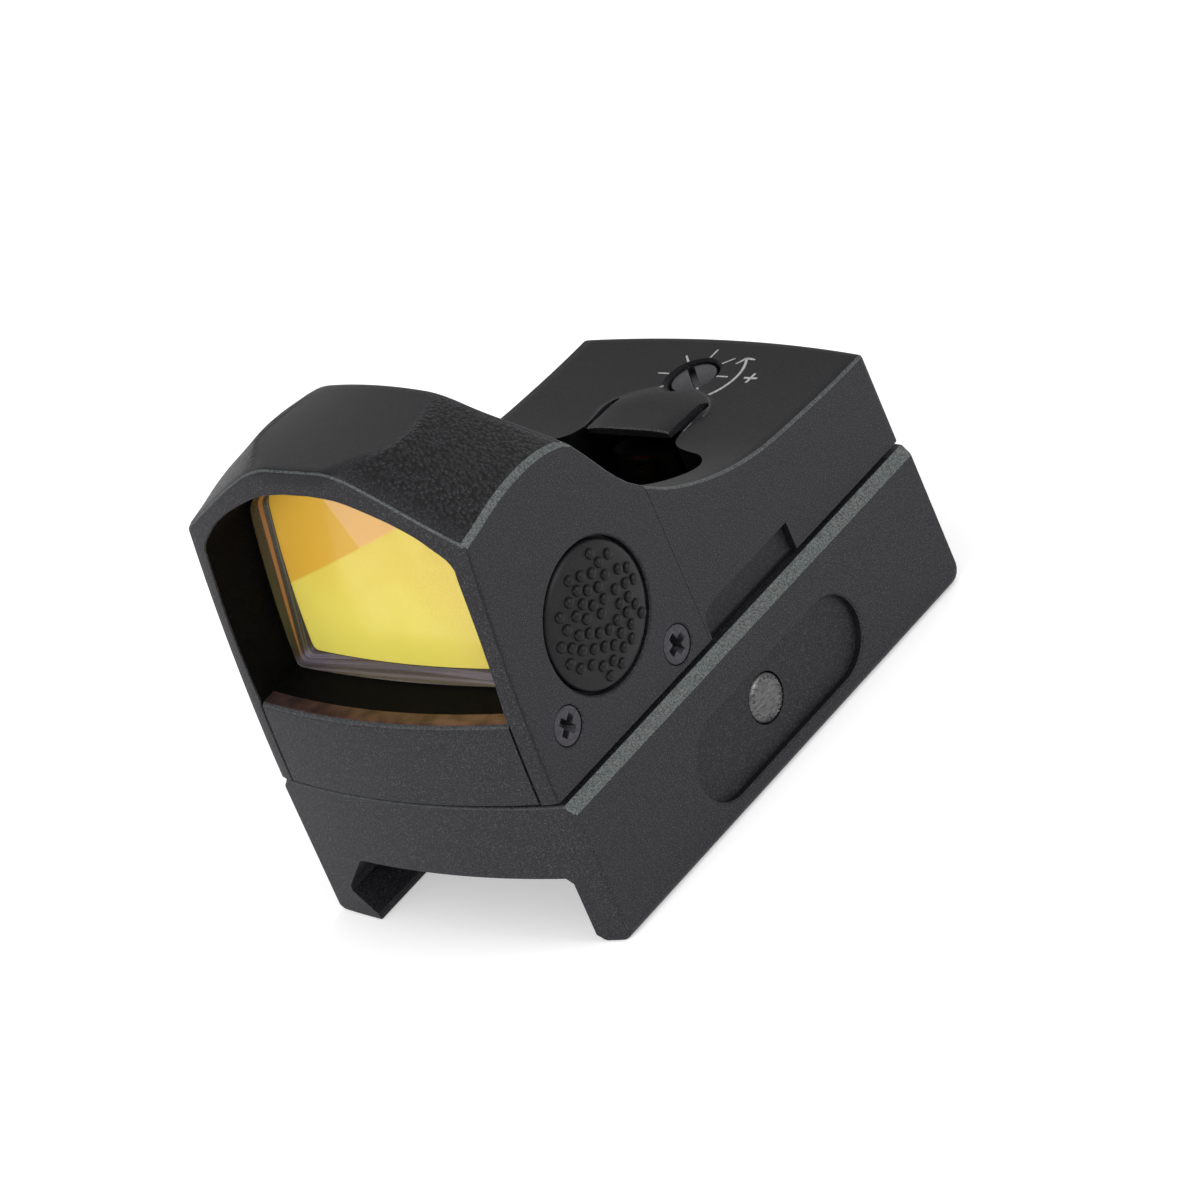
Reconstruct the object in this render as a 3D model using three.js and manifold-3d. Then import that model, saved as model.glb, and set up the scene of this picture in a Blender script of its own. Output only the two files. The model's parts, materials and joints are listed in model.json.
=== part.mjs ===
// Open reflex sight (red dot finder) on a rail clamp base.
// Millimetres, +Z up. X is sideways, with the power button on the +X side. The
// objective end faces -Y and the eye end faces +Y. Inside this file y runs from
// the front edge of the housing and z from the housing's underside; the group at
// the end moves that point so that the part stands on z = 0 with its middle at
// x = y = 0.
import * as THREE from 'three';
import { mergeVertices } from 'three/addons/utils/BufferGeometryUtils.js';
import Module from 'manifold-3d';

const wasm = await Module();
wasm.setup();

// ---------------------------------------------------------------- dimensions

const HALF_WIDTH = 14;            // housing, side face
const SEAM_Y = 20.3;              // joint between the hood's cheeks and the rear block
const REAR_Y = 46.2;              // rear corner of the housing
const BOW_FRONT = 1.54;           // how far the front face bulges at the middle
const BOW_REAR = 1.0;             // how far the rear face bulges at the middle
const HOOD_TOP_Z = 28.2;
const LEG_INSIDE = 12.5;          // inner face of the hood's front legs
const CHEEK_INSIDE = 10.4;        // inner face of the cheeks behind the lens
const STRIP_TOP_Z = 7.1;          // ledge under the lens
const FLOOR_Z = 4.6;              // floor of the open space behind the lens
const HOLLOW_HALF = 11.2;         // half width of the open space in the rear block
const GAP = 0.05;                 // clearance between faces that meet

const LENS_TILT = Math.tan(THREE.MathUtils.degToRad(10.6));
const LENS_MID_Z = 16.8;
const LENS_FRONT_Y = 5.3;         // front glass at the lens centre
const LENS_JOIN_Y = 6.55;         // cemented face between the two elements
const LENS_REAR_Y = 7.8;          // rear glass at the lens centre
const LENS_FRONT_RADIUS = 100;
const LENS_JOIN_RADIUS = 80;
const LENS_REAR_RADIUS = 90;
const LENS_SEAT_Y = 9.4;          // shoulder behind the lens, at the lens centre height
const LENS_EDGE_CLEAR = 0.3;

const BUTTON_Y = 10.93;
const BUTTON_Z = 9.22;
const BUTTON_RECESS_R = 6.08;
const BUTTON_R = 5.65;
const BUTTON_RECESS_X = 13.0;
const STEM_Y = 13.2;

const SIDE_SCREWS = { front: [4.0, 4.2], rear: [17.1, 2.0] };   // y, z
const SIDE_SCREW_HEAD_R = 1.55;

const CELL_R = 10;
const CELL_THICK = 3.2;
const CELL_Y = 13.5;
const CELL_Z = 0.45;

const CANOPY_HALF = 4.1;
const CANOPY_FRONT_Y = 33.7;
const SLOT_HALF = 4.9;            // canopy plus the slit on each side

const ELEVATION_X = 0.0;
const ELEVATION_Y = 42.2;
const WINDAGE_Y = 36.6;
const WINDAGE_Z = 4.6;

const BASE_HALF = 14.75;
const BASE_TOP_Z = -0.5;
const BASE_BOTTOM_Z = -13.0;
const BASE_FRONT_Y = 0.54;
const GROOVE_CEILING_Z = -7.1;
const JAW_RELIEF_Z = -6.95;         // the ceiling is relieved over the sliding jaw
const LEG_WALL_X = 11.9;          // inner face of the +X leg
const POCKET_FLOOR_X = 14.05;     // floor of the long shallow pocket on the +X side
const POCKET_R = 3.55;
const POCKET_Y = [13.06, 34.55];
const POCKET_Z = -7.9;

const BOLT_Y = 23.1;
const BOLT_Z = -7.4;
const BOLT_R = 1.95;
const BOLT_HEAD_R = 3.3;
const JAW_Y = [9.0, 37.0];
const JAW_BACK_X = 11.8;          // back of the jaw when it is closed
const JAW_TRAVEL = 1.3;
const JAW_SLOT_X = JAW_BACK_X + JAW_TRAVEL + 0.1;

const MOUNT_SCREWS = { left: [-6.5, 30.5], right: [6.5, 30.5] };   // x, y
const FRONT_MOUNT_SCREW = [0, 1.9];
const PIN_X = 12.3;
const PIN_Y = 30;

// ------------------------------------------------------------------ finishes

const finish = (color, roughness, metalness) => ({ color, roughness, metalness });
const BLACK_ANODISED = finish('#2b2b30', 0.55, 0.4);
const RUBBER = finish('#232327', 0.8, 0.0);
const GLASS = finish('#dccb5a', 0.1, 0.3);
const DARK_SCREW = finish('#3a3a3e', 0.4, 0.8);
const STEEL = finish('#8d8f93', 0.35, 0.9);
const BRASS = finish('#b69a4e', 0.35, 0.9);
const PLASTIC = finish('#1d1d20', 0.6, 0.0);
const BOARD = finish('#1f5a36', 0.6, 0.0);
const LED_RESIN = finish('#c8372c', 0.3, 0.0);
const FOAM = finish('#303034', 0.95, 0.0);

// ------------------------------------------------------------ shape builders

const X_AXIS = new THREE.Vector3(1, 0, 0);
const Y_AXIS = new THREE.Vector3(0, 1, 0);
const Z_AXIS = new THREE.Vector3(0, 0, 1);

function solid(geometry) {
  const bare = geometry.clone();
  bare.deleteAttribute('normal');
  bare.deleteAttribute('uv');
  const merged = mergeVertices(bare, 1e-4);
  return new wasm.Manifold(new wasm.Mesh({
    numProp: 3,
    vertProperties: new Float32Array(merged.attributes.position.array),
    triVerts: new Uint32Array(merged.index.array),
  }));
}

function box(x0, x1, y0, y1, z0, z1) {
  const geometry = new THREE.BoxGeometry(x1 - x0, y1 - y0, z1 - z0);
  geometry.translate((x0 + x1) / 2, (y0 + y1) / 2, (z0 + z1) / 2);
  return solid(geometry);
}

function prism(points, depth, xAxis, yAxis, origin) {
  const shape = new THREE.Shape(points.map(([a, b]) => new THREE.Vector2(a, b)));
  const geometry = new THREE.ExtrudeGeometry(shape, { depth, bevelEnabled: false, curveSegments: 12 });
  const zAxis = new THREE.Vector3().crossVectors(xAxis, yAxis);
  geometry.applyMatrix4(new THREE.Matrix4().makeBasis(xAxis, yAxis, zAxis));
  geometry.translate(...origin);
  return solid(geometry);
}

const prismX = (yz, x0, x1) => prism(yz, x1 - x0, Y_AXIS, Z_AXIS, [x0, 0, 0]);
const prismY = (xz, y0, y1) => prism(xz, y1 - y0, X_AXIS, Z_AXIS, [0, y1, 0]);
const prismZ = (xy, z0, z1) => prism(xy, z1 - z0, X_AXIS, Y_AXIS, [0, 0, z0]);

// A solid of revolution: profile rows are [radius, height], turned about the axis.
function turned(profile, axis, [x, y, z], segments = 24) {
  const points = profile.map(([r, h]) => new THREE.Vector2(r, h));
  const geometry = new THREE.LatheGeometry(points, segments);
  const turn = new THREE.Quaternion().setFromUnitVectors(Y_AXIS, axis);
  geometry.applyQuaternion(turn);
  geometry.translate(x, y, z);
  return solid(geometry);
}

function rod(axis, radius, from, to, [a, b], segments = 24) {
  const centre = { x: [from, a, b], y: [a, from, b], z: [a, b, from] }[axis];
  const direction = { x: X_AXIS, y: Y_AXIS, z: Z_AXIS }[axis];
  const length = to - from;
  return turned([[0, 0], [radius, 0], [radius, length], [0, length]], direction, centre, segments);
}

// A block whose front and rear faces follow y = front(x, z) and y = rear(x, z).
function curvedBlock(x0, x1, z0, z1, front, rear, nx = 12, nz = 8) {
  const position = [];
  const index = [];
  for (const face of [front, rear]) {
    for (let i = 0; i <= nx; i += 1) {
      for (let j = 0; j <= nz; j += 1) {
        const x = x0 + (x1 - x0) * i / nx;
        const z = z0 + (z1 - z0) * j / nz;
        position.push(x, face(x, z), z);
      }
    }
  }
  const f = (i, j) => i * (nz + 1) + j;
  const r = (i, j) => (nx + 1) * (nz + 1) + f(i, j);
  const quad = (a, b, c, d) => index.push(a, b, c, a, c, d);
  for (let i = 0; i < nx; i += 1) {
    for (let j = 0; j < nz; j += 1) {
      quad(f(i, j), f(i + 1, j), f(i + 1, j + 1), f(i, j + 1));
      quad(r(i, j), r(i, j + 1), r(i + 1, j + 1), r(i + 1, j));
    }
    quad(f(i, 0), r(i, 0), r(i + 1, 0), f(i + 1, 0));
    quad(f(i, nz), f(i + 1, nz), r(i + 1, nz), r(i, nz));
  }
  for (let j = 0; j < nz; j += 1) {
    quad(f(0, j), f(0, j + 1), r(0, j + 1), r(0, j));
    quad(f(nx, j), r(nx, j), r(nx, j + 1), f(nx, j + 1));
  }
  const geometry = new THREE.BufferGeometry();
  geometry.setAttribute('position', new THREE.Float32BufferAttribute(position, 3));
  geometry.setIndex(index);
  return solid(geometry);
}

const mirrored = (half) => [...half, ...half.slice().reverse().map(([x, z]) => [-x, z])];

const group = new THREE.Group();

function add(name, body, look) {
  const { vertProperties, triVerts } = body.getMesh();
  const geometry = new THREE.BufferGeometry();
  geometry.setAttribute('position', new THREE.BufferAttribute(vertProperties, 3));
  geometry.setIndex(new THREE.BufferAttribute(triVerts, 1));
  geometry.computeVertexNormals();
  const mesh = new THREE.Mesh(geometry, new THREE.MeshStandardMaterial(look));
  mesh.name = name;
  group.add(mesh);
}

// --------------------------------------------------------------- outer forms

const bowFront = (x) => BOW_FRONT * (1 - (x / HALF_WIDTH) ** 2);
const bowRear = (x) => BOW_REAR * (1 - (x / HALF_WIDTH) ** 2);
// The hood's front face leans back, and more so towards the top.
const lean = (z) => 0.02 * z + 0.0029 * z * z;
const housingFront = (x, z) => lean(z) - bowFront(x);
const housingRear = (x) => REAR_Y + bowRear(x);

// Rear edge of the hood and the sweep down to the flat rear deck, as [y, z].
const HOOD_REAR_EDGE = [
  [12.6, 28.2], [13.2, 26.2], [14.1, 24.2], [15.2, 21.7], [16.5, 19.7], [17.7, 17.4], [19.0, 15.6], [20.3, 14.2],
];
const DECK_SWEEP = [
  [20.35, 14.15], [22.5, 12.55], [24.7, 11.35], [27, 10.35], [29.4, 9.55], [32, 8.95], [34.8, 8.6], [38.9, 8.3],
  [43, 8.1], [50, 8.0],
];

const HOOD_OUTLINE = mirrored([
  [14, 0], [14, 21.7], [12.7, 22.8], [11.3, 23.9], [8.7, 25.7], [6.6, 27.1], [4.5, 27.9], [2.4, 28.2],
]);
const openingHalf = (shrink, bottom) => [
  [12.4 - shrink, bottom], [12.4 - shrink, 20.1 - shrink * 0.3], [11 - shrink * 0.8, 22 - shrink * 0.6],
  [9.7 - shrink * 0.7, 23.1 - shrink * 0.7], [7.5 - shrink * 0.6, 24.4 - shrink * 0.8],
  [4.3 - shrink * 0.4, 25.8 - shrink * 0.9], [1.75, 26.2 - shrink],
];

const lensFace = (middle, radius) => (x, z) => {
  const height = z - LENS_MID_Z;
  return middle + LENS_TILT * height + (x * x + height * height) / (2 * radius);
};
const lensSeat = (x, z) => LENS_SEAT_Y + LENS_TILT * (z - LENS_MID_Z);

// ---------------------------------------------------------------- lens hood

function lensHood() {
  const far = 60;
  let hood = curvedBlock(-HALF_WIDTH, HALF_WIDTH, 0, HOOD_TOP_Z, housingFront, () => far);
  hood = hood.intersect(prismY(HOOD_OUTLINE, -5, SEAM_Y));
  hood = hood.intersect(prismX([[-5, 0], [-5, HOOD_TOP_Z], ...HOOD_REAR_EDGE, [SEAM_Y, 0]], -20, 20));
  const lensPocket = curvedBlock(-13, 13, 6.9, 27, () => -5, lensSeat, 2, 2)
    .intersect(prismY(mirrored(openingHalf(0, 6.9)), -6, 20));
  const eyeOpening = prismY(mirrored(openingHalf(12.4 - CHEEK_INSIDE, 7)), -4, 30);
  const legSpace = box(-LEG_INSIDE, LEG_INSIDE, -5, 30, -1, STRIP_TOP_Z + 0.1);
  hood = hood.subtract(lensPocket).subtract(eyeOpening).subtract(legSpace);
  hood = hood.subtract(rod('x', BUTTON_RECESS_R, BUTTON_RECESS_X, 20, [BUTTON_Y, BUTTON_Z], 40));
  hood = hood.subtract(rod('x', 1.7, 12, 20, [STEM_Y, BUTTON_Z]));
  hood = hood.subtract(box(9, 12.4, 10.9, 17.1, 7.6, 12.4));
  for (const [y, z] of Object.values(SIDE_SCREWS)) {
    for (const side of [-1, 1]) {
      hood = hood.subtract(sideScrewSpace(side, y, z, 0.03));
    }
  }
  return hood;
}

// Countersunk M1.6 screw through a cheek, or the space that it needs.
function sideScrewSpace(side, y, z, clearance) {
  const r = SIDE_SCREW_HEAD_R + clearance;
  const shank = 0.8 + clearance;
  const sunk = 0.12 - (clearance > 0 ? 1 : 0);
  const profile = [[0, 0], [shank, 0], [shank, 2.9], [r, 3.65], [r, 4 - sunk], [0, 4 - sunk]];
  const direction = X_AXIS.clone().multiplyScalar(side);
  return turned(profile, direction, [side * (HALF_WIDTH - 4), y, z], 24);
}

function sideScrew(side, y, z) {
  const arm = 0.95;
  const half = 0.17;
  const top = HALF_WIDTH + 1;
  const floor = HALF_WIDTH - 0.6;
  const [x0, x1] = side > 0 ? [floor, top] : [-top, -floor];
  const cross = box(x0, x1, y - arm, y + arm, z - half, z + half)
    .add(box(x0, x1, y - half, y + half, z - arm, z + arm));
  return sideScrewSpace(side, y, z, 0).subtract(cross);
}

// ---------------------------------------------------------------- main body

function hollowPlan() {
  const half = [
    [HOLLOW_HALF, 15], [HOLLOW_HALF, 28.3], [10.6, 30], [9.2, 31.1], [7.2, 31.5], [5.6, 32.4], [SLOT_HALF, 33.8],
    [SLOT_HALF, 38],
  ];
  return mirrored(half);
}

function mainBody() {
  const frontBlock = curvedBlock(-12.35, 12.35, 0, STRIP_TOP_Z, housingFront, () => SEAM_Y + 1, 12, 4);
  let body = curvedBlock(-HALF_WIDTH, HALF_WIDTH, 0, 15, () => SEAM_Y + GAP, housingRear, 12, 4)
    .intersect(prismX([[20, 0], ...DECK_SWEEP, [50, 0]], -20, 20));
  body = body.add(frontBlock);
  // Open space behind the lens, then the slot under the canopy.
  body = body.subtract(curvedBlock(-13, 13, FLOOR_Z, 16, lensSeat, () => SEAM_Y + 0.5, 2, 2));
  body = body.subtract(prismZ(hollowPlan(), FLOOR_Z, 16));
  body = body.subtract(box(-SLOT_HALF, SLOT_HALF, 33.2, 36, 3.4, FLOOR_Z + 1));
  const canopy = prismX([[CANOPY_FRONT_Y, 7.7], [CANOPY_FRONT_Y, 8.9], [36, 8.95], [38.2, 8.7], [39.6, 8.2],
    [39.6, 7], [34.6, 7]], -CANOPY_HALF, CANOPY_HALF);
  body = body.add(canopy);
  // Mechanism space, open below; its roof carries the elevation screw.
  body = body.subtract(box(-10.5, 10.5, 34.2, 45.2, -1, 6.6).subtract(box(8.6, 11, 43.4, 46, -2, 7)));
  body = body.subtract(rod('z', 1.05, 5, 12, [ELEVATION_X, ELEVATION_Y]));
  body = body.subtract(rod('z', 2.15, 6.95, 12, [ELEVATION_X, ELEVATION_Y], 40));
  body = body.subtract(rod('x', 2.1, -15, -10, [WINDAGE_Y, WINDAGE_Z]));
  for (const x of [ELEVATION_X, -6]) {
    body = body.subtract(rod('y', 1.05, 44, 50, [x, 4.4]));
  }
  // Coin cell well with the slots of its contacts.
  body = body.subtract(rod('z', CELL_R + 0.25, -1, 4, [0, CELL_Y], 48));
  body = body.subtract(box(-2.3, 2.3, 20, 24.5, -1, 3.75));
  // Fixings.
  for (const [x, y] of Object.values(MOUNT_SCREWS)) {
    body = body.subtract(rod('z', 1.3, -1, 3.9, [x, y]));
  }
  body = body.subtract(rod('z', 0.95, -1, 5.2, FRONT_MOUNT_SCREW));
  for (const side of [-1, 1]) {
    body = body.subtract(rod('z', 0.8, -1, 2.3, [side * PIN_X, PIN_Y]));
    body = body.subtract(coverNotch(side));
    for (const [y, z] of Object.values(SIDE_SCREWS)) {
      body = body.subtract(sideScrewSpace(side, y, z, 0.03));
    }
  }
  return body;
}

// Snap recess for a clip-on cover in the lower edge of each side.
function coverNotch(side) {
  const points = [[32.05, -1], [32.05, 2.45]];
  const centre = [21.9, 1.05];
  for (let step = 0; step <= 6; step += 1) {
    const angle = Math.PI / 2 + (step / 6) * (Math.PI / 2);
    points.push([centre[0] + 1.4 * Math.cos(angle), centre[1] + 1.4 * Math.sin(angle)]);
  }
  points.push([20.5, -1]);
  return prismX(points, side > 0 ? HALF_WIDTH - 0.6 : -15, side > 0 ? 15 : 0.6 - HALF_WIDTH);
}

// --------------------------------------------------------------------- lens

function lensElement(frontFace, rearFace) {
  const edge = mirrored(openingHalf(LENS_EDGE_CLEAR, 7.6));
  return curvedBlock(-13, 13, 7.2, 27, frontFace, rearFace).intersect(prismY(edge, -2, 18));
}

function lensGasket() {
  const ring = prismY(mirrored(openingHalf(LENS_EDGE_CLEAR, 7.35)), -2, 18)
    .subtract(prismY(mirrored(openingHalf(1.9, 9)), -3, 19));
  const rearGlass = lensFace(LENS_REAR_Y + GAP, LENS_REAR_RADIUS);
  const seat = (x, z) => lensSeat(x, z) - GAP;
  return curvedBlock(-13, 13, 7, 27, rearGlass, seat).intersect(ring);
}

// ------------------------------------------------------------- power button

function powerButton() {
  const dome = [[0, 0.45], [BUTTON_R, 0.45], [BUTTON_R, 0.95]];
  const steps = 4;
  for (let step = 1; step <= steps; step += 1) {
    const angle = (step / steps) * (Math.PI / 2);
    dome.push([BUTTON_R * Math.cos(angle), 0.95 + 0.6 * Math.sin(angle)]);
  }
  const cap = turned(dome, X_AXIS, [BUTTON_RECESS_X, BUTTON_Y, BUTTON_Z], 36);
  return cap.add(rod('x', 1.4, 12.25, BUTTON_RECESS_X + 0.7, [STEM_Y, BUTTON_Z], 20));
}

// -------------------------------------------------------------------- coils

class Coil extends THREE.Curve {
  constructor(radius, length, turns) {
    super();
    Object.assign(this, { radius, length, turns });
  }

  getPoint(t) {
    const angle = t * this.turns * Math.PI * 2;
    return new THREE.Vector3(this.radius * Math.cos(angle), this.radius * Math.sin(angle), t * this.length);
  }
}

function coilSpring(radius, wire, length, turns, axis, origin) {
  const section = new THREE.Shape();
  for (let side = 0; side < 6; side += 1) {
    const angle = side * Math.PI / 3;
    const point = [wire * Math.cos(angle), wire * Math.sin(angle)];
    if (side === 0) {
      section.moveTo(...point);
    } else {
      section.lineTo(...point);
    }
  }
  const geometry = new THREE.ExtrudeGeometry(section, {
    steps: Math.round(turns * 9),
    bevelEnabled: false,
    extrudePath: new Coil(radius, length, turns),
  });
  geometry.applyQuaternion(new THREE.Quaternion().setFromUnitVectors(Z_AXIS, axis));
  geometry.translate(...origin);
  return solid(geometry);
}

// --------------------------------------------------------- rail clamp base

function railMount() {
  const outline = [
    [-14, BASE_TOP_Z], [14, BASE_TOP_Z], [BASE_HALF, -1.35], [BASE_HALF, -12.2], [14, -13], [12.7, -13],
    [LEG_WALL_X, -12.4], [LEG_WALL_X, JAW_RELIEF_Z], [10, JAW_RELIEF_Z],
    [10, GROOVE_CEILING_Z], [-9, GROOVE_CEILING_Z], [-11.8, -10.4], [-9.8, -12.5],
    [-10.2, -13], [-13.9, -13], [-BASE_HALF, -12.2], [-BASE_HALF, -1.35],
  ];
  const front = (x) => BASE_FRONT_Y - bowFront(x * HALF_WIDTH / BASE_HALF);
  const rear = (x) => REAR_Y + 0.1 + bowRear(x * HALF_WIDTH / BASE_HALF);
  let base = curvedBlock(-BASE_HALF, BASE_HALF, BASE_BOTTOM_Z, BASE_TOP_Z, front, rear, 12, 1);
  base = base.intersect(prismY(outline, -5, 60));
  // Long shallow pocket with round ends on the +X side.
  const [y0, y1] = POCKET_Y;
  const ends = [y0 + POCKET_R, y1 - POCKET_R];
  base = base.subtract(box(POCKET_FLOOR_X, 16, ends[0], ends[1], POCKET_Z - POCKET_R, POCKET_Z + POCKET_R));
  for (const y of ends) {
    base = base.subtract(rod('x', POCKET_R, POCKET_FLOOR_X, 16, [y, POCKET_Z], 40));
  }
  // Clamp bolt and the space of its jaw.
  base = base.subtract(rod('x', BOLT_R + 0.1, -13, 16, [BOLT_Y, BOLT_Z]));
  base = base.subtract(rod('x', BOLT_HEAD_R + 0.3, -16, -12.4, [BOLT_Y, BOLT_Z], 40));
  base = base.subtract(box(LEG_WALL_X - 0.5, JAW_SLOT_X, JAW_Y[0] - 0.2, JAW_Y[1] + 0.2, -14, GROOVE_CEILING_Z));
  base = base.subtract(box(7.6, JAW_SLOT_X, 19.2, 27, -8, -4.1));
  // Screws up into the housing, and the locating pins.
  for (const [x, y] of Object.values(MOUNT_SCREWS)) {
    base = base.subtract(rod('z', 1.35, -8, 1, [x, y])).subtract(rod('z', 2.2, -8, -5.1, [x, y]));
  }
  base = base.subtract(rod('z', 1.0, -8, 1, FRONT_MOUNT_SCREW));
  base = base.subtract(rod('z', 1.9, -8, -5.1, FRONT_MOUNT_SCREW));
  for (const side of [-1, 1]) {
    base = base.subtract(rod('z', 0.8, -3.2, 1, [side * PIN_X, PIN_Y]));
  }
  return base;
}

function clampJaw() {
  const lip = [
    [JAW_BACK_X, -7.25], [10.2, -7.25], [9.9, -10.2], [8.0, -12.1], [8.0, -12.8], [JAW_BACK_X, -12.8],
  ];
  const ear = box(8.2, JAW_BACK_X, 19.5, 26.7, -8, -4.4);
  return prismY(lip, ...JAW_Y).add(ear).subtract(rod('x', BOLT_R + 0.06, 5, 15, [BOLT_Y, BOLT_Z]));
}

function hexagon(radius) {
  return Array.from({ length: 6 }, (unused, corner) => {
    const angle = corner * Math.PI / 3;
    return [BOLT_Y + radius * Math.cos(angle), BOLT_Z + radius * Math.sin(angle)];
  });
}

function clampBolt() {
  const profile = [
    [0, 0], [BOLT_HEAD_R - 0.3, 0], [BOLT_HEAD_R, 0.3], [BOLT_HEAD_R, 2.1], [BOLT_R, 2.1], [BOLT_R, 28.65],
    [BOLT_R - 0.2, 28.85], [0, 28.85],
  ];
  const bolt = turned(profile, X_AXIS, [-14.6, BOLT_Y, BOLT_Z]);
  return bolt.subtract(prismX(hexagon(1.45), -16, -13.3));
}

// ------------------------------------------------- adjustment and small parts

function slottedScrewZ(headR, headZ, shankR, zTip, [x, y]) {
  const [z0, z1] = headZ;
  const profile = [[0, zTip], [shankR, zTip], [shankR, z0], [headR, z0], [headR, z1 - 0.15], [headR - 0.15, z1],
    [0, z1]];
  return turned(profile, Z_AXIS, [x, y, 0]).subtract(box(x - 3, x + 3, y - 0.25, y + 0.25, z1 - 0.45, z1 + 1));
}

function elevationSlide() {
  const [y0, y1] = [38.6, 43.2];
  let slide = box(-9.5, 8.4, y0, y1, 3.2, 5.8);
  for (const x of [-9.5, 6.2]) {
    slide = slide.add(box(x, x + 2.2, 35, y0 + 0.2, 3.2, 5.8));
  }
  slide = slide.subtract(rod('z', 1.0, 0, 9, [ELEVATION_X, ELEVATION_Y]));
  slide = slide.subtract(rod('z', 1.5, 0, 5.2, [-6, 41]));
  return slide.subtract(rod('x', 0.86, -12, 12, [WINDAGE_Y, WINDAGE_Z]));
}

function windageCarrier() {
  const block = box(-3.6, 2.6, 34.7, 38.3, 3.3, 6.0);
  return block.subtract(rod('x', 0.86, -12, 12, [WINDAGE_Y, WINDAGE_Z]));
}

function windageScrew() {
  const profile = [[0, 0], [1.55, 0], [1.55, 1.1], [0.8, 1.1], [0.8, 21.9], [0, 21.9]];
  const slot = box(-15, -13.35, WINDAGE_Y - 0.22, WINDAGE_Y + 0.22, 0, 9);
  return turned(profile, X_AXIS, [-13.8, WINDAGE_Y, WINDAGE_Z], 28).subtract(slot);
}

function setScrewY(x, z, y0, y1) {
  const screw = rod('y', 0.98, y0, y1, [x, z], 24);
  const flats = Array.from({ length: 6 }, (unused, corner) => {
    const angle = corner * Math.PI / 3;
    return [x + 0.5 * Math.cos(angle), z + 0.5 * Math.sin(angle)];
  });
  return screw.subtract(prismY(flats, y1 - 0.9, y1 + 1));
}

function tactSwitch() {
  return box(11.25, 11.8, STEM_Y - 2, STEM_Y + 2, BUTTON_Z - 1.5, BUTTON_Z + 2)
    .subtract(rod('x', 0.95, 11.35, 13, [STEM_Y, BUTTON_Z], 20));
}

function mountScrew([x, y], headR, shankR, zTip) {
  const profile = [[0, -6.9], [headR, -6.9], [headR, -5.2], [shankR, -5.2], [shankR, zTip], [0, zTip]];
  const corners = Array.from({ length: 6 }, (unused, corner) => {
    const angle = corner * Math.PI / 3;
    return [x + 0.85 * Math.cos(angle), y + 0.85 * Math.sin(angle)];
  });
  return turned(profile, Z_AXIS, [x, y, 0], 24).subtract(prismZ(corners, -8, -5.9));
}

function baseGasket() {
  let sheet = box(-13.2, 13.2, 0.9, 45, -0.45, -0.05).subtract(box(-11.4, 11.4, 4, 43.2, -1, 1));
  sheet = sheet.subtract(rod('z', 1.2, -1, 1, FRONT_MOUNT_SCREW));
  for (const side of [-1, 1]) {
    sheet = sheet.subtract(box(side * 13.3 - 1.95, side * 13.3 + 1.95, PIN_Y - 1.1, PIN_Y + 1.1, -1, 1)
      .intersect(rod('z', 0.86, -1, 1, [side * PIN_X, PIN_Y])));
  }
  return sheet;
}

// ---------------------------------------------------------------- assembly

add('lens_hood', lensHood(), BLACK_ANODISED);
add('main_body', mainBody(), BLACK_ANODISED);
add('rail_mount', railMount(), BLACK_ANODISED);

const joinFace = (offset) => lensFace(LENS_JOIN_Y + offset, LENS_JOIN_RADIUS);
const frontGlass = lensFace(LENS_FRONT_Y, LENS_FRONT_RADIUS);
add('front_lens_element', lensElement(frontGlass, joinFace(-0.03)), GLASS);
add('rear_lens_element', lensElement(joinFace(0.03), lensFace(LENS_REAR_Y, LENS_REAR_RADIUS)), GLASS);
add('lens_gasket', lensGasket(), RUBBER);

for (const [end, [y, z]] of Object.entries(SIDE_SCREWS)) {
  add(`hood_screw_right_${end}`, sideScrew(1, y, z), DARK_SCREW);
  add(`hood_screw_left_${end}`, sideScrew(-1, y, z), DARK_SCREW);
}

add('power_button', powerButton(), RUBBER);
add('switch_plunger', rod('x', 0.8, 11.85, 12.15, [STEM_Y, BUTTON_Z], 20), PLASTIC);
add('tact_switch', tactSwitch(), PLASTIC);
add('switch_board', box(10.85, 11.2, 11, 17, 7.7, 12.3), BOARD);
add('switch_cover', box(10.45, 10.8, 11, 17, 7.7, 12.3), PLASTIC);

add('coin_cell', turned([[0, 0], [8.2, 0], [8.2, 0.25], [CELL_R, 0.25], [CELL_R, CELL_THICK], [0, CELL_THICK]],
  Z_AXIS, [0, CELL_Y, CELL_Z], 40), STEEL);
add('top_contact', box(-1.6, 1.6, 8, 19, 3.72, 3.92), BRASS);
add('side_contact', box(-2, 2, 23.75, 24.1, 0.5, 3.5), BRASS);
add('battery_pad', rod('z', 7.5, -0.4, 0.4, [0, CELL_Y], 40), FOAM);
add('base_gasket', baseGasket(), RUBBER);

add('main_board', box(-8.2, 8.2, 34.6, 44.9, 0.6, 1.2), BOARD);
add('control_chip', box(3.6, 7.4, 38.5, 42.3, 1.25, 2.1), PLASTIC);

add('elevation_screw', slottedScrewZ(1.95, [7.0, 7.65], 0.94, 2.2, [ELEVATION_X, ELEVATION_Y]), DARK_SCREW);
add('elevation_slide', elevationSlide(), BRASS);
add('elevation_spring', coilSpring(1.05, 0.18, 3.0, 4, Z_AXIS, [-6, 41, 1.6]), STEEL);
add('windage_screw', windageScrew(), DARK_SCREW);
add('windage_carrier', windageCarrier(), BRASS);
add('windage_spring', coilSpring(1.15, 0.18, 2.9, 3, X_AXIS, [2.95, WINDAGE_Y, WINDAGE_Z]), STEEL);
add('led_emitter', box(-1.3, 0.3, 34.15, 34.65, 4.4, 5.9), LED_RESIN);
add('emitter_aperture', box(-1.6, 0.6, 33.9, 34.1, 4.2, 6.1)
  .subtract(rod('y', 0.3, 33, 35, [-0.5, 5.15], 16)), PLASTIC);
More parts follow.
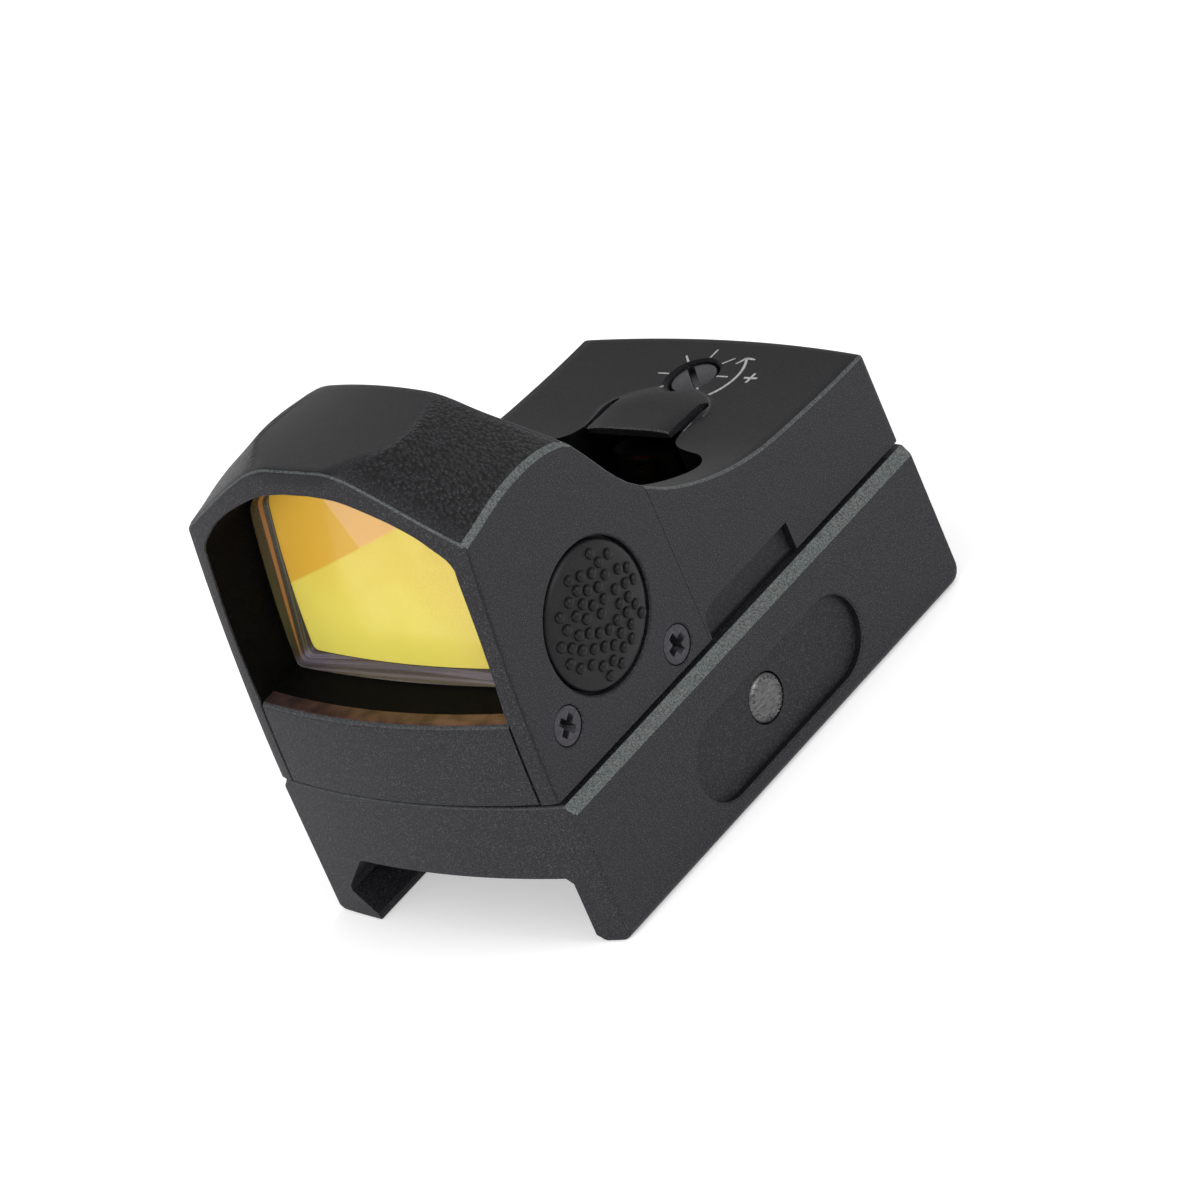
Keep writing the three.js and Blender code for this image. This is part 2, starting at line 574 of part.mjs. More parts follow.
add('elevation_lock_screw', setScrewY(ELEVATION_X, 4.4, 44.0, 46.2), DARK_SCREW);
add('windage_lock_screw', setScrewY(-6, 4.4, 44.0, 46.2), DARK_SCREW);

add('clamp_jaw', clampJaw(), BLACK_ANODISED);
add('clamp_bolt', clampBolt(), STEEL);
for (const [side, place] of Object.entries(MOUNT_SCREWS)) {
  add(`mount_screw_${side}`, mountScrew(place, 2.0, 1.25, 3.7), STEEL);
}
add('mount_screw_front', mountScrew(FRONT_MOUNT_SCREW, 1.75, 0.9, 5.0), STEEL);
for (const [name, side] of [['left', -1], ['right', 1]]) {
  add(`locating_pin_${name}`, rod('z', 0.75, -3.1, 2.2, [side * PIN_X, PIN_Y], 20), STEEL);
}

const MIDDLE_Y = (REAR_Y + 0.1 + BOW_REAR - BOW_FRONT) / 2;
group.position.set(0, -MIDDLE_Y, -BASE_BOTTOM_Z);

export default group;
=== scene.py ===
import json
import math

import bmesh
import bpy
import numpy as np
from mathutils import Matrix, Vector


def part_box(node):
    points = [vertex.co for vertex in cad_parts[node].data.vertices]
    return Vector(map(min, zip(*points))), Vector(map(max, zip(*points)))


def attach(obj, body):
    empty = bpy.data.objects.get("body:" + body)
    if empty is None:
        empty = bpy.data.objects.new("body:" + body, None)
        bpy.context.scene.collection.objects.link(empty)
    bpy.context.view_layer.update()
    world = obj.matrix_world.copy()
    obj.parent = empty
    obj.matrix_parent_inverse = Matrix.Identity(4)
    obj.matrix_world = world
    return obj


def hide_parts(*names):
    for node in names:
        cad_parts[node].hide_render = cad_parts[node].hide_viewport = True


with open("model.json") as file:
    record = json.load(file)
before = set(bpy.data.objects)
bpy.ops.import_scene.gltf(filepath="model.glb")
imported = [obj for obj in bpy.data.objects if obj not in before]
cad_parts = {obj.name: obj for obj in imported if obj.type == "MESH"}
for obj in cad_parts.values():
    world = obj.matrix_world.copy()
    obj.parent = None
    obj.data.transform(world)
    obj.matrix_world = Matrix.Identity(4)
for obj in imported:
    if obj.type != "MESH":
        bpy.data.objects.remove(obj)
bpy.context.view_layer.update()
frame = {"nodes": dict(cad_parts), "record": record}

# ---- Studio -----------------------------------------------------------------------------------
# A pale floor under the sight, even soft light from above and both sides, and a long lens that
# looks down on the objective end from the side of the power button.
MM = 0.001
bpy.context.scene.view_settings.view_transform = "Standard"

world = bpy.data.worlds.new("studio_air")
bpy.context.scene.world = world
world.use_nodes = True
world.node_tree.nodes["Background"].inputs["Color"].default_value = (1.0, 1.0, 1.0, 1.0)
world.node_tree.nodes["Background"].inputs["Strength"].default_value = 0.82


def soft_light(name, place, size, power):
    lamp = bpy.data.lights.new(name, "AREA")
    lamp.shape = "DISK"
    lamp.size = size
    lamp.energy = power
    holder = bpy.data.objects.new(name, lamp)
    holder.location = place
    aim = Vector((0, 0, 0.02)) - Vector(place)
    holder.rotation_euler = aim.to_track_quat("-Z", "Y").to_euler()
    bpy.context.scene.collection.objects.link(holder)


soft_light("key_light", (0.05, -0.62, 0.26), 0.35, 2.5)
soft_light("side_light", (0.55, 0.1, 0.30), 0.30, 1.6)
soft_light("back_light", (-0.2, 0.6, 0.45), 0.25, 0.25)

camera_data = bpy.data.cameras.new("studio_camera")
camera_data.lens = 276.06
camera_data.sensor_width = 36.0
camera_data.clip_start = 0.01
camera_data.clip_end = 20.0
camera = bpy.data.objects.new("studio_camera", camera_data)
AZIMUTH = math.radians(48.308)
ELEVATION = math.radians(28.407)
ROLL = math.radians(-23.613)
backward = Vector((math.sin(AZIMUTH) * math.cos(ELEVATION), -math.cos(AZIMUTH) * math.cos(ELEVATION),
                   math.sin(ELEVATION)))
level_right = Vector((math.cos(AZIMUTH), math.sin(AZIMUTH), 0))
level_up = backward.cross(level_right)
right = math.cos(ROLL) * level_right + math.sin(ROLL) * level_up
up = backward.cross(right)
aim_point = Vector((9.348, -6.983, 19.643)) * MM
turn = Matrix((right, up, backward)).transposed().to_4x4()
camera.matrix_world = Matrix.Translation(aim_point + backward * 684.16 * MM) @ turn
bpy.context.scene.collection.objects.link(camera)
bpy.context.scene.camera = camera


# ---- Housing finish ---------------------------------------------------------------------------
# The hood and the body are machined aluminium, bead blasted and anodised satin black. The grain
# shows as fine pale specks; machined chamfers and corners carry painted highlights, and faces in
# recesses and the up-facing deck and facet carry painted shade.
# Sizes are in millimetres, with y from the housing's front edge and z from its underside. The
# hood's own box says where that point is in the frame.
SEAM_Y = 20.3
hood_low, hood_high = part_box("lens_hood")
DATUM = Vector((0, hood_high.y - SEAM_Y * MM, hood_low.z))


# A wire is a socket that answers to arithmetic, and a finish holds one material's nodes.
class Wire:
    def __init__(self, finish, socket):
        self.finish = finish
        self.socket = socket

    def maths(self, operation, *others):
        values = dict(enumerate((self,) + others))
        return self.finish.node("ShaderNodeMath", {"operation": operation}, values)

    def __add__(self, other):
        return self.maths("ADD", other)

    def __sub__(self, other):
        return self.maths("SUBTRACT", other)

    def __mul__(self, other):
        return self.maths("MULTIPLY", other)

    def __truediv__(self, other):
        return self.maths("DIVIDE", other)

    def __neg__(self):
        return self.maths("MULTIPLY", -1.0)

    def __pow__(self, other):
        return self.maths("POWER", other)

    def __gt__(self, other):
        return self.maths("GREATER_THAN", other)

    def __rsub__(self, other):
        return (-self) + other

    __radd__ = __add__
    __rmul__ = __mul__

    def ramp(self, low, high):
        settings = {"interpolation_type": "SMOOTHSTEP"}
        return self.finish.node("ShaderNodeMapRange", settings, {"Value": self, 1: low, 2: high})


class Finish:
    def __init__(self, name, base, roughness, metallic=0.0, **fixed):
        self.material = bpy.data.materials.new(name)
        self.material.use_nodes = True
        self.tree = self.material.node_tree
        self.shader = self.tree.nodes["Principled BSDF"]
        self.set("Base Color", (*base, 1.0))
        self.set("Roughness", roughness)
        self.set("Metallic", metallic)
        for socket, value in fixed.items():
            self.set(socket.replace("_", " "), value)
        self.material.diffuse_color = (*base, 1.0)

    def set(self, socket, value):
        self.put(self.shader.inputs[socket], value)

    def put(self, socket, value):
        if isinstance(value, Wire):
            self.tree.links.new(value.socket, socket)
        else:
            socket.default_value = value

    def node(self, kind, settings=None, values=None, output=0):
        made = self.tree.nodes.new(kind)
        for key, value in (settings or {}).items():
            setattr(made, key, value)
        for key, value in (values or {}).items():
            self.put(made.inputs[key], value)
        return Wire(self, made.outputs[output])

    def place(self):
        """Object coordinates in millimetres."""
        where = self.node("ShaderNodeTexCoord", output=3)
        return self.node("ShaderNodeVectorMath", {"operation": "SCALE"}, {0: where, "Scale": 1000.0})

    def axes(self):
        parts = self.node("ShaderNodeSeparateXYZ", {}, {0: self.place()})
        outs = parts.socket.node.outputs
        return [Wire(self, outs[i]) for i in range(3)]

    def noise(self, scale, detail=2.0, roughness=0.5, vector=None):
        where = vector or self.place()
        values = {"Vector": where, "Scale": scale, "Detail": detail, "Roughness": roughness}
        return self.node("ShaderNodeTexNoise", {}, values)

    def mix(self, factor, first, second):
        made = self.tree.nodes.new("ShaderNodeMix")
        made.data_type = "RGBA"
        self.put(made.inputs[0], factor)
        for index, colour in ((6, first), (7, second)):
            self.put(made.inputs[index], colour if isinstance(colour, Wire) else (*colour, 1.0))
        return Wire(self, made.outputs[2])

    def bump(self, height, strength, distance):
        values = {"Height": height, "Strength": strength, "Distance": distance * MM}
        self.set("Normal", self.node("ShaderNodeBump", {}, values))

    def attribute(self, name):
        return self.node("ShaderNodeAttribute", {"attribute_name": name}, {}, output=2)


def black_anodised(name, arc_highlight=False, gleam=0.2):
    finish = Finish(name, (0.010, 0.010, 0.012), 0.5, 0.0, Specular_IOR_Level=gleam)
    grain = finish.noise(7.0, 3.0, 0.75)
    specks = finish.noise(9.5, 2.0, 0.6).ramp(0.53, 0.64)
    drift = finish.noise(0.25, 2.0, 0.5)
    edge = finish.attribute("edge")
    pebble_and_shade = finish.attribute("pebble_and_shade")
    polish_and_top_shade = finish.attribute("polish_and_top_shade")
    body = finish.mix(grain.ramp(0.36, 0.66), (0.0045, 0.0042, 0.0056), (0.0135, 0.0128, 0.0165))
    body = finish.mix(drift * 0.4, body, (0.0115, 0.0112, 0.0140))
    body = finish.mix(specks * 0.8, body, (0.046, 0.046, 0.051))
    # Marked top faces are darkened: painted shade on up-facing surfaces; the same mark also makes them a
    # little smoother.
    body = finish.mix(polish_and_top_shade * 0.62, body, (0.0035, 0.0034, 0.0042))
    # The shoulder grain is darkened overall and most between its lumps: painted shade; the lumps also give
    # the bump below.
    lumps = finish.node("ShaderNodeTexVoronoi", {"feature": "SMOOTH_F1"},
                        {"Vector": finish.place(), "Scale": 3.3, "Smoothness": 0.35, "Randomness": 1.0})
    body = finish.mix(pebble_and_shade * (0.25 + lumps.ramp(0.28, 0.7) * 0.75), body, (0.003, 0.003, 0.003))
    # A thin lighter band along the canopy's rear arc on the deck: a painted highlight.
    if arc_highlight:
        px, py, pz = finish.axes()
        back = (py - DATUM.y / MM - 36.5) / 3.8
        away = ((px / 5.3) ** 2 + back ** 2) ** 0.5
        arc_glint = (1 - (away - 1.0).maths("ABSOLUTE").ramp(0.0,
                                                        0.035)) * (back > 0) * (pz - DATUM.z / MM > 7.9)
        edge = edge.maths("MAXIMUM", arc_glint * 0.35)
    # Faces marked as edges, such as chamfers, rims and lips, take a lighter grained tone: painted
    # highlights.
    painted_highlight = finish.mix(grain.ramp(0.36, 0.64), (0.032, 0.037, 0.037), (0.120, 0.130, 0.127))
    body = finish.mix(edge, body, painted_highlight)
    # Faces in recesses, inside the window and under the lens go near black: painted shade.
    body = finish.mix(finish.attribute("painted_shade"), body, (0.0025, 0.0025, 0.003))
    # A marked strip on the sill top takes a reddish-brown tone from the lens: a painted reflection, on a
    # smoother surface.
    reflection_drift = finish.noise(0.5, 2.0, 0.5).ramp(0.3, 0.7)
    reflected_amber = finish.mix(reflection_drift, (0.050, 0.020, 0.016), (0.17, 0.078, 0.055))
    gloss_and_reflection = finish.attribute("gloss_and_reflection")
    finish.set("Base Color", finish.mix(gloss_and_reflection, body, reflected_amber))
    smoother = (1 - gloss_and_reflection * 0.5) * (1 - pebble_and_shade * 0.15) * (1 - polish_and_top_shade * 0.2)
    finish.set("Roughness", (0.44 + 0.16 * grain) * smoother)
    height = grain * 0.45 * (1 - gloss_and_reflection) + (1 - lumps) * pebble_and_shade * 3.2
    finish.bump(height, 0.6, 0.07)
    return finish


housing_black = black_anodised("housing_black_anodised")
body_black = black_anodised("body_black_anodised")
# A copy for the up-facing deck faces with less gleam, so they come out darker: painted shade, plus the
# painted arc highlight.
deck_shaded_black = black_anodised("deck_black_shaded_top", arc_highlight=True, gleam=0.09)
# Near-black finish for faces deep in recesses and inside the window: painted shade, with a faint mottle.
shade_black = Finish("painted_shade_black", (0.0022, 0.0022, 0.0026), 0.7, 0.0, Specular_IOR_Level=0.04)
shade_mottle = shade_black.noise(6.0, 2.0, 0.6)
shade_black.set("Base Color", shade_black.mix(shade_mottle.ramp(0.3, 0.7), (0.0015, 0.0015, 0.0018),
                                          (0.0045, 0.0045, 0.005)))
shade_black.set("Roughness", 0.6 + 0.2 * shade_mottle)
shade_black.bump(shade_mottle, 0.4, 0.03)

# ---- Lens hood --------------------------------------------------------------------------------
# The arch and both cheeks are one machined piece. Its front face bows and leans back, its top has
# a smooth middle facet, and the sloping shoulders carry a coarse pebbled grain.
HALF = 14.0
BOW = 1.54
LENS_TILT = math.tan(math.radians(10.6))
LENS_MID_Z = 16.8
SEAT_Y = 9.4
CHEEK_INSIDE = 10.4
STRIP_TOP = 7.1
CHAMFER = 0.45


def smooth_path(knots, per_span=8):
    """A Catmull-Rom curve through the knots."""
    knots = np.asarray(knots, float)
    padded = np.vstack([2 * knots[0] - knots[1], knots, 2 * knots[-1] - knots[-2]])
    out = []
    for i in range(1, len(padded) - 2):
        p0, p1, p2, p3 = padded[i - 1:i + 3]
        for step in range(per_span):
            t = step / per_span
            out.append(0.5 * (2 * p1 + (p2 - p0) * t + (2 * p0 - 5 * p1 + 4 * p2 - p3) * t * t
                              + (3 * p1 - p0 - 3 * p2 + p3) * t ** 3))
    out.append(knots[-1])
    return np.array(out)


def along(path, shares):
    """Points at the given shares of a path's length."""
    steps = np.linalg.norm(np.diff(path, axis=0), axis=1)
    reach = np.concatenate([[0], np.cumsum(steps)])
    reach /= reach[-1]
    return np.stack([np.interp(shares, reach, path[:, k]) for k in range(path.shape[1])], axis=1)


REAR_EDGE = smooth_path([(28.2, 12.6), (26.2, 13.1), (24.2, 14.0), (21.7, 15.25), (19.7, 16.45),
                         (17.4, 17.75),
                         (15.6, 19.0), (14.2, 20.3)])[::-1]
SIDE_TOP = smooth_path([(0, 21.3), (1.9, 21.74), (3.8, 22.1), (5.9, 22.57), (8.1, 22.85), (10.7, 22.87),
                        (13.07, 22.46), (15.4, 21.5), (20, 19)])
FACET_HALF = smooth_path([(0, 3.2), (2.4, 4.3), (4.9, 6.1), (6.5, 6.6), (9.2, 6.4), (12.6, 5.5), (16, 4.8)])


def lean(z):
    return 0.02 * z + 0.0029 * z * z


def housing_front(x, z):
    return lean(z) - BOW * (1 - (x / HALF) ** 2)


def hood_rear(z):
    return np.interp(z, REAR_EDGE[:, 0], REAR_EDGE[:, 1])


def lens_seat(z):
    return SEAT_Y + LENS_TILT * (z - LENS_MID_Z)


def side_top(y):
    return np.interp(y, SIDE_TOP[:, 0], SIDE_TOP[:, 1])


def facet_half(y):
    return np.interp(y, FACET_HALF[:, 0], FACET_HALF[:, 1])


def hood_top(x, y):
    """Height of the arch over x: a shoulder that runs up into the crowned middle facet."""
    corner = side_top(y) + CHAMFER
    climb = (HALF - CHAMFER - abs(x)) / (HALF - CHAMFER - facet_half(y))
    # the shoulder is full at the front and straightens beside the middle facet
    fullness = 0.4 - 0.4 * min(1.0, max(0.0, (y - 1.2) / 5.0))
    swell = math.sin(math.pi * min(climb, 1.0)) * (0.5 + 0.5 * min(climb, 1.0))
    shoulder = corner + (28.15 - corner) * climb + fullness * swell
    crown = 28.2 - (0.004 + 0.0008 * max(0.0, y)) * x * x
    blend = np.interp(y, (0.0, 2.0, 4.5, 9.0, 12.6), (1.0, 0.8, 0.16, 0.16, 0.7))
    overlap = max(blend - abs(shoulder - crown), 0.0) / blend
    return min(shoulder, crown) - overlap * overlap * blend / 4


def hood_outside(stretch, share, y):
    """Outer surface of the right half, in the (x, z) plane at y, by stretch of the arch."""
    corner = side_top(y)
    if stretch == "leg":
        return np.array((HALF, STRIP_TOP * share))
    if stretch == "side":
        return np.array((HALF, STRIP_TOP + (corner - STRIP_TOP) * share))
    if stretch == "chamfer":
        return np.array((HALF - CHAMFER * share, corner + CHAMFER * share))
    middle = 5.6
    if stretch == "slope":
        x = HALF - CHAMFER + (middle - HALF + CHAMFER) * share
    else:
        x = middle * (1 - share)
    return np.array((x, hood_top(x, y)))


POCKET_ARCH = smooth_path([(12.45, 20.1), (12.1, 20.9), (11.0, 22.0), (9.7, 23.1), (7.5, 24.4),
                           (4.3, 25.75),
                           (1.75, 26.2), (0, 26.25)])
EYE_ARCH = smooth_path([(10.4, 19.5), (10.2, 20.2), (9.4, 20.9), (8.3, 21.7), (6.3, 22.8), (3.5, 24.0),
                        (1.6, 24.2),
                        (0, 24.2)])
ARCH_SHARES = {"chamfer": (0.0, 0.07), "slope": (0.07, 0.62), "facet": (0.62, 1.0)}


def hood_inside(stretch, share):
    """Window pocket and eye opening, in the (x, z) plane, opposite the same stretch."""
    if stretch == "leg":
        z = STRIP_TOP * share
        return np.array((12.5, z)), np.array((12.45, z))
    if stretch == "side":
        z = STRIP_TOP + (20.1 - STRIP_TOP) * share
        belly = 12.3 + 0.25 * math.sin(math.pi * min(1.0, share + 0.05)) + 0.15 * share
        return np.array((belly, z)), np.array((CHEEK_INSIDE, STRIP_TOP + (19.5 - STRIP_TOP) * share))
    low, high = ARCH_SHARES[stretch]
    where = np.array([low + (high - low) * share])
    return along(POCKET_ARCH, where)[0], along(EYE_ARCH, where)[0]


def rounded(radius, steps=3):
    """(inset, drop) pairs of a quarter round, from a face to the face beside it."""
    angles = [math.pi / 2 * k / steps for k in range(steps + 1)]
    return [(radius * (1 - math.sin(a)), radius * (1 - math.cos(a))) for a in angles]


def hood_section(stretch, share, side):
    pocket, eye = hood_inside(stretch, share)
    ring = []

    def put(spot, y):
        ring.append((side * spot[0], y, spot[1]))

    front_y = 1.0
    for _ in range(4):
        front_spot = hood_outside(stretch, share, front_y)
        front_y = housing_front(front_spot[0], front_spot[1])
    inward = (pocket - front_spot) / np.linalg.norm(pocket - front_spot)
    radius = 0.38
    for inset, drop in rounded(radius):
        put(hood_outside(stretch, share, front_y + drop) + inward * inset, front_y + drop)
    rear_y = 14.0
    for _ in range(4):
        rear_spot = hood_outside(stretch, share, rear_y)
        rear_y = hood_rear(rear_spot[1])
    rear_radius = 0.05 if stretch == "leg" or rear_y > 20 else 0.35
    for y in np.linspace(front_y + radius, rear_y - rear_radius, 26)[1:-1]:
        put(hood_outside(stretch, share, y), y)
    rear_spot = hood_outside(stretch, share, rear_y)
    back_in = (eye - rear_spot) / np.linalg.norm(eye - rear_spot)
    for inset, drop in reversed(rounded(rear_radius)):
        put(rear_spot + back_in * inset, rear_y - drop)
    outer_end = rear_spot + back_in * rear_radius
    inner_end = eye - back_in * 0.2
    for t in (0.25, 0.5, 0.75):
        spot = outer_end + (inner_end - outer_end) * t
        put(spot, hood_rear(spot[1]))
    for inset, drop in rounded(0.2, 2):
        put(eye - back_in * inset, hood_rear(eye[1]) - drop)
    seat_eye = lens_seat(eye[1])
    for t in (0.33, 0.66, 1.0):
        put(eye, hood_rear(eye[1]) - 0.2 + (seat_eye - hood_rear(eye[1]) + 0.2) * t)
    seat_pocket = lens_seat(pocket[1])
    put(pocket, seat_pocket)
    pocket_front = housing_front(pocket[0], pocket[1])
    for t in (0.33, 0.66):
        put(pocket, seat_pocket + (pocket_front + 0.12 - seat_pocket) * t)
    for inset, drop in reversed(rounded(0.12, 2)):
        put(pocket - inward * inset, pocket_front + drop)
    face_in = pocket - inward * 0.12
    face_out = front_spot + inward * radius
    for t in (0.33, 0.66):
        spot = face_in + (face_out - face_in) * t
        put(spot, housing_front(spot[0], spot[1]))
    return ring


def tidy(piece, weld=0.0005, turn_out=True):
    work = bmesh.new()
    work.from_mesh(piece.data)
    bmesh.ops.remove_doubles(work, verts=work.verts, dist=weld * MM)
    if turn_out:
        bmesh.ops.recalc_face_normals(work, faces=work.faces)
    work.to_mesh(piece.data)
    work.free()


def new_piece(name, points, faces, finish=None):
    mesh = bpy.data.meshes.new(name)
    rows = np.asarray(points, float) * MM + np.array(DATUM)
    mesh.from_pydata(rows.tolist(), [], [list(map(int, face)) for face in faces])
    piece = bpy.data.objects.new(name, mesh)
    bpy.context.scene.collection.objects.link(piece)
    tidy(piece)
    if finish:
        mesh.materials.append(finish.material)
    return piece


def loft(sections, closed=False):
    """Faces of a skin over rings of equal length, with a cap on each end unless the loft closes."""
    count = len(sections)
    ring = len(sections[0])
    points = np.concatenate(sections)
    faces = []
    for i in range(count if closed else count - 1):
        a = i * ring
        b = ((i + 1) % count) * ring
        for j in range(ring):
            k = (j + 1) % ring
            faces.append([a + j, a + k, b + k, b + j])
    if not closed:
        faces.append(list(range(ring)))
        faces.append(list(range((count - 1) * ring, count * ring)))
    return points, faces


half_stations = [("leg", s) for s in np.linspace(0, 0.995, 5)]
half_stations += [("side", s) for s in np.linspace(0.0, 1, 16)]
half_stations += [("chamfer", s) for s in (0.5,)]
half_stations += [("slope", s) for s in np.linspace(0, 1, 30)]
half_stations += [("facet", s) for s in np.linspace(0, 1, 18)[1:]]
sections = [hood_section(stretch, share, 1) for stretch, share in half_stations]
sections += [hood_section(stretch, share, -1) for stretch, share in half_stations[-2::-1]]
hood = new_piece("hood_arch", *loft(sections), housing_black)


def lathe(profile, axis, centre, segments=64):
    """A turned form: profile rows are (radius, height) from the axis back to the axis."""
    forward = Vector(axis).normalized()
    side = forward.orthogonal().normalized()
    other = forward.cross(side)
    sections = []
    for step in range(segments):
        angle = 2 * math.pi * step / segments
        out = side * math.cos(angle) + other * math.sin(angle)
        sections.append([Vector(centre) + forward * h + out * r for r, h in profile])
    ring = len(profile)
    points = [tuple(spot) for section in sections for spot in section]
    faces = []
    for i in range(segments):
        a, b = i * ring, ((i + 1) % segments) * ring
        for j in range(ring - 1):
            faces.append([a + j, a + j + 1, b + j + 1, b + j])
    return points, faces


def settle(piece):
    """Bakes the live modifiers into the piece's mesh."""
    depsgraph = bpy.context.evaluated_depsgraph_get()
    finished = bpy.data.meshes.new_from_object(piece.evaluated_get(depsgraph))
    old = piece.data
    piece.modifiers.clear()
    piece.data = finished
    bpy.data.meshes.remove(old)


def carve(piece, shapes, operation="DIFFERENCE"):
    for points, faces in shapes:
        tool = new_piece("tool", points, faces)
        step = piece.modifiers.new("cut", "BOOLEAN")
        step.operation = operation
        step.solver = "EXACT"
        step.object = tool
        settle(piece)
        bpy.data.objects.remove(tool)


BUTTON_Y, BUTTON_Z = 10.93, 9.22
RECESS_R, RECESS_X = 5.95, 13.0
SIDE_SCREWS = ((4.0, 4.2), (17.1, 2.0))
SCREW_HEAD_R = 1.55
recess = lathe([(0, 0), (RECESS_R, 0), (RECESS_R, 0.86), (RECESS_R + 0.14, 1.0), (RECESS_R + 1.2, 2.0),
                (0, 2.0)],
               (1, 0, 0), (RECESS_X, BUTTON_Y, BUTTON_Z), 96)


def countersink(side, y, z):
    profile = [(0, 0), (0.83, 0), (0.83, 2.9), (SCREW_HEAD_R + 0.05, 3.62), (SCREW_HEAD_R + 0.05, 3.9),
               (SCREW_HEAD_R + 0.17, 4.0), (SCREW_HEAD_R + 0.5, 4.6), (0, 4.6)]
    return lathe(profile, (side, 0, 0), (side * (HALF - 4), y, z), 48)


screw_holes = [countersink(side, y, z) for side in (-1, 1) for y, z in SIDE_SCREWS]
carve(hood, [recess] + screw_holes)


def spots_of(piece):
    spots = np.empty(len(piece.data.vertices) * 3)
    piece.data.vertices.foreach_get("co", spots)
    return (spots.reshape(-1, 3) - np.array(DATUM)) / MM


def mark(piece, name, values):
    layer = piece.data.attributes.new(name, "FLOAT", "POINT")
    layer.data.foreach_set("value", np.asarray(values, np.float32))


def mark_faces(piece, name, rule, finish=None):
    """Marks whole faces, from their middles (mm) and the way they look, and repaints the ones above 0.8."""
    count = len(piece.data.polygons)
    middles = np.empty(count * 3)
    looks = np.empty(count * 3)
    piece.data.polygons.foreach_get("center", middles)
    piece.data.polygons.foreach_get("normal", looks)
    middles = (middles.reshape(-1, 3) - np.array(DATUM)) / MM
    shares = np.asarray(rule(middles, looks.reshape(-1, 3)), np.float32)
    if finish:
        slots = np.empty(count, np.int32)
        piece.data.polygons.foreach_get("material_index", slots)
        slots[shares > 0.8] = len(piece.data.materials)
        piece.data.materials.append(finish.material)
        piece.data.polygons.foreach_set("material_index", slots)
    layer = piece.data.attributes.new(name, "FLOAT", "FACE")
    layer.data.foreach_set("value", shares)


# The side chamfer strips and the front top rim of the arch are marked for painted highlights.
def hood_highlights(middles, looks):
    x, y, z = np.abs(middles[:, 0]), middles[:, 1], middles[:, 2]
    outward = (looks[:, 2] > 0.3) & (looks[:, 1] > -0.4)
    strip = (x > HALF - CHAMFER) & (x < HALF - 0.001) & (z > 20.5) & outward
    strip &= y < 15.4
    rim = (y - housing_front(x, z) < 0.3) & (looks[:, 2] > 0.3) & (looks[:, 1] < -0.55) & (looks[:,
                                                                                                 1] > -0.9)
    rim &= z > 21.5
    rim[rim] = [hood_top(x[i], y[i]) - z[i] < 0.22 for i in np.flatnonzero(rim)]
    return strip * 0.9 + rim * 0.62 * (1 - strip)


# Faces inside the window pocket are marked near black, and the outer front corner of each cheek darker:
# painted shade.
def hood_painted_shade(middles, looks):
    x, y, z = np.abs(middles[:, 0]), middles[:, 1], middles[:, 2]
    window = (y > housing_front(x, z) + 0.14) & (x < 12.9) & (y < hood_rear(z) - 0.4) & (looks[:, 1] < 0.6)
    inner = window & (z < np.interp(x, (0, 4, 7.5, 11, 12.6, 12.9), (26.7, 26.4, 24.9, 22.6, 21.0, 20.5)))
    corner = (x > 13.62) & (y - housing_front(x, z) < 0.3) & (z < 21.5) & (looks[:, 1] > -0.9)
    return np.maximum(inner * 0.9, corner * (looks[:, 1] < -0.4) * 0.6)


# The shoulders are marked for their grain with painted shade in it, and the middle facet for a smoother
# finish painted darker as shade.
def hood_grain_and_shade(piece):
    spots = spots_of(piece)
    x, y, z = np.abs(spots[:, 0]), spots[:, 1], spots[:, 2]
    inside = (x > facet_half(y)) & (z > side_top(y) + CHAMFER - 0.02) & (y > housing_front(x, z) + 0.3)
    fade = np.clip((x - facet_half(y) - 0.05) / 0.3, 0, 1)
    fade = fade * np.clip((y - housing_front(x, z) - 0.4) / 1.2, 0, 1)
    fade *= np.clip((hood_rear(z) - y) / 1.0, 0, 1)
    mark(piece, "pebble_and_shade", inside * fade)
    top_shade_and_polish = np.clip((facet_half(y) + 0.1 - x) / 0.3, 0, 1) * (z > 27.2)
    mark(piece, "polish_and_top_shade", top_shade_and_polish)


def shade(piece, sharp=32):
    mesh = piece.data
    mesh.shade_smooth()
    mesh.set_sharp_from_angle(angle=math.radians(sharp))


def finish_piece(piece, body, nodes, sharp=32):
    shade(piece, sharp)
    even = piece.modifiers.new("even", "WEIGHTED_NORMAL")
    even.keep_sharp = True
    settle(piece)
    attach(piece, body)
    if nodes:
        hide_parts(*nodes)


mark_faces(hood, "edge", hood_highlights)
mark_faces(hood, "painted_shade", hood_painted_shade, shade_black)
hood_grain_and_shade(hood)
finish_piece(hood, "housing", ["lens_hood"])

# ---- Main body --------------------------------------------------------------------------------
# The body carries the sill under the lens, the floor behind it and the rear block, whose deck
# sweeps down from the cheeks. A low canopy covers the emitter at the edge of the open space.
BODY_REAR = 46.2
BOW_REAR = 1.0
FLOOR = 4.6
HOLLOW_HALF = 11.2
SLOT_HALF = 4.9
CANOPY_HALF = 4.1
CANOPY_FRONT = 33.7
DIAL = (0.0, 42.2)

DECK = smooth_path([(20.35, 14.15), (22.5, 12.55), (24.7, 11.35), (27, 10.35), (29.4, 9.55), (32, 8.95),
                    (34.8, 8.6),
                    (38.9, 8.3), (43, 8.1), (48, 8.0)])


def deck(y):
    return np.interp(y, DECK[:, 0], DECK[:, 1])


def canopy_rise(x, y):
    """Low swelling of the deck over the emitter."""
    width = 5.6 - 0.25 * max(0.0, 37.0 - y)
    back = max(0.0, (y - 36.5) / 3.8)
    away = math.hypot(x / max(width, 0.5), back)
    return 0.46 * max(0.0, 1 - away ** 5) if y > 32 else 0.0


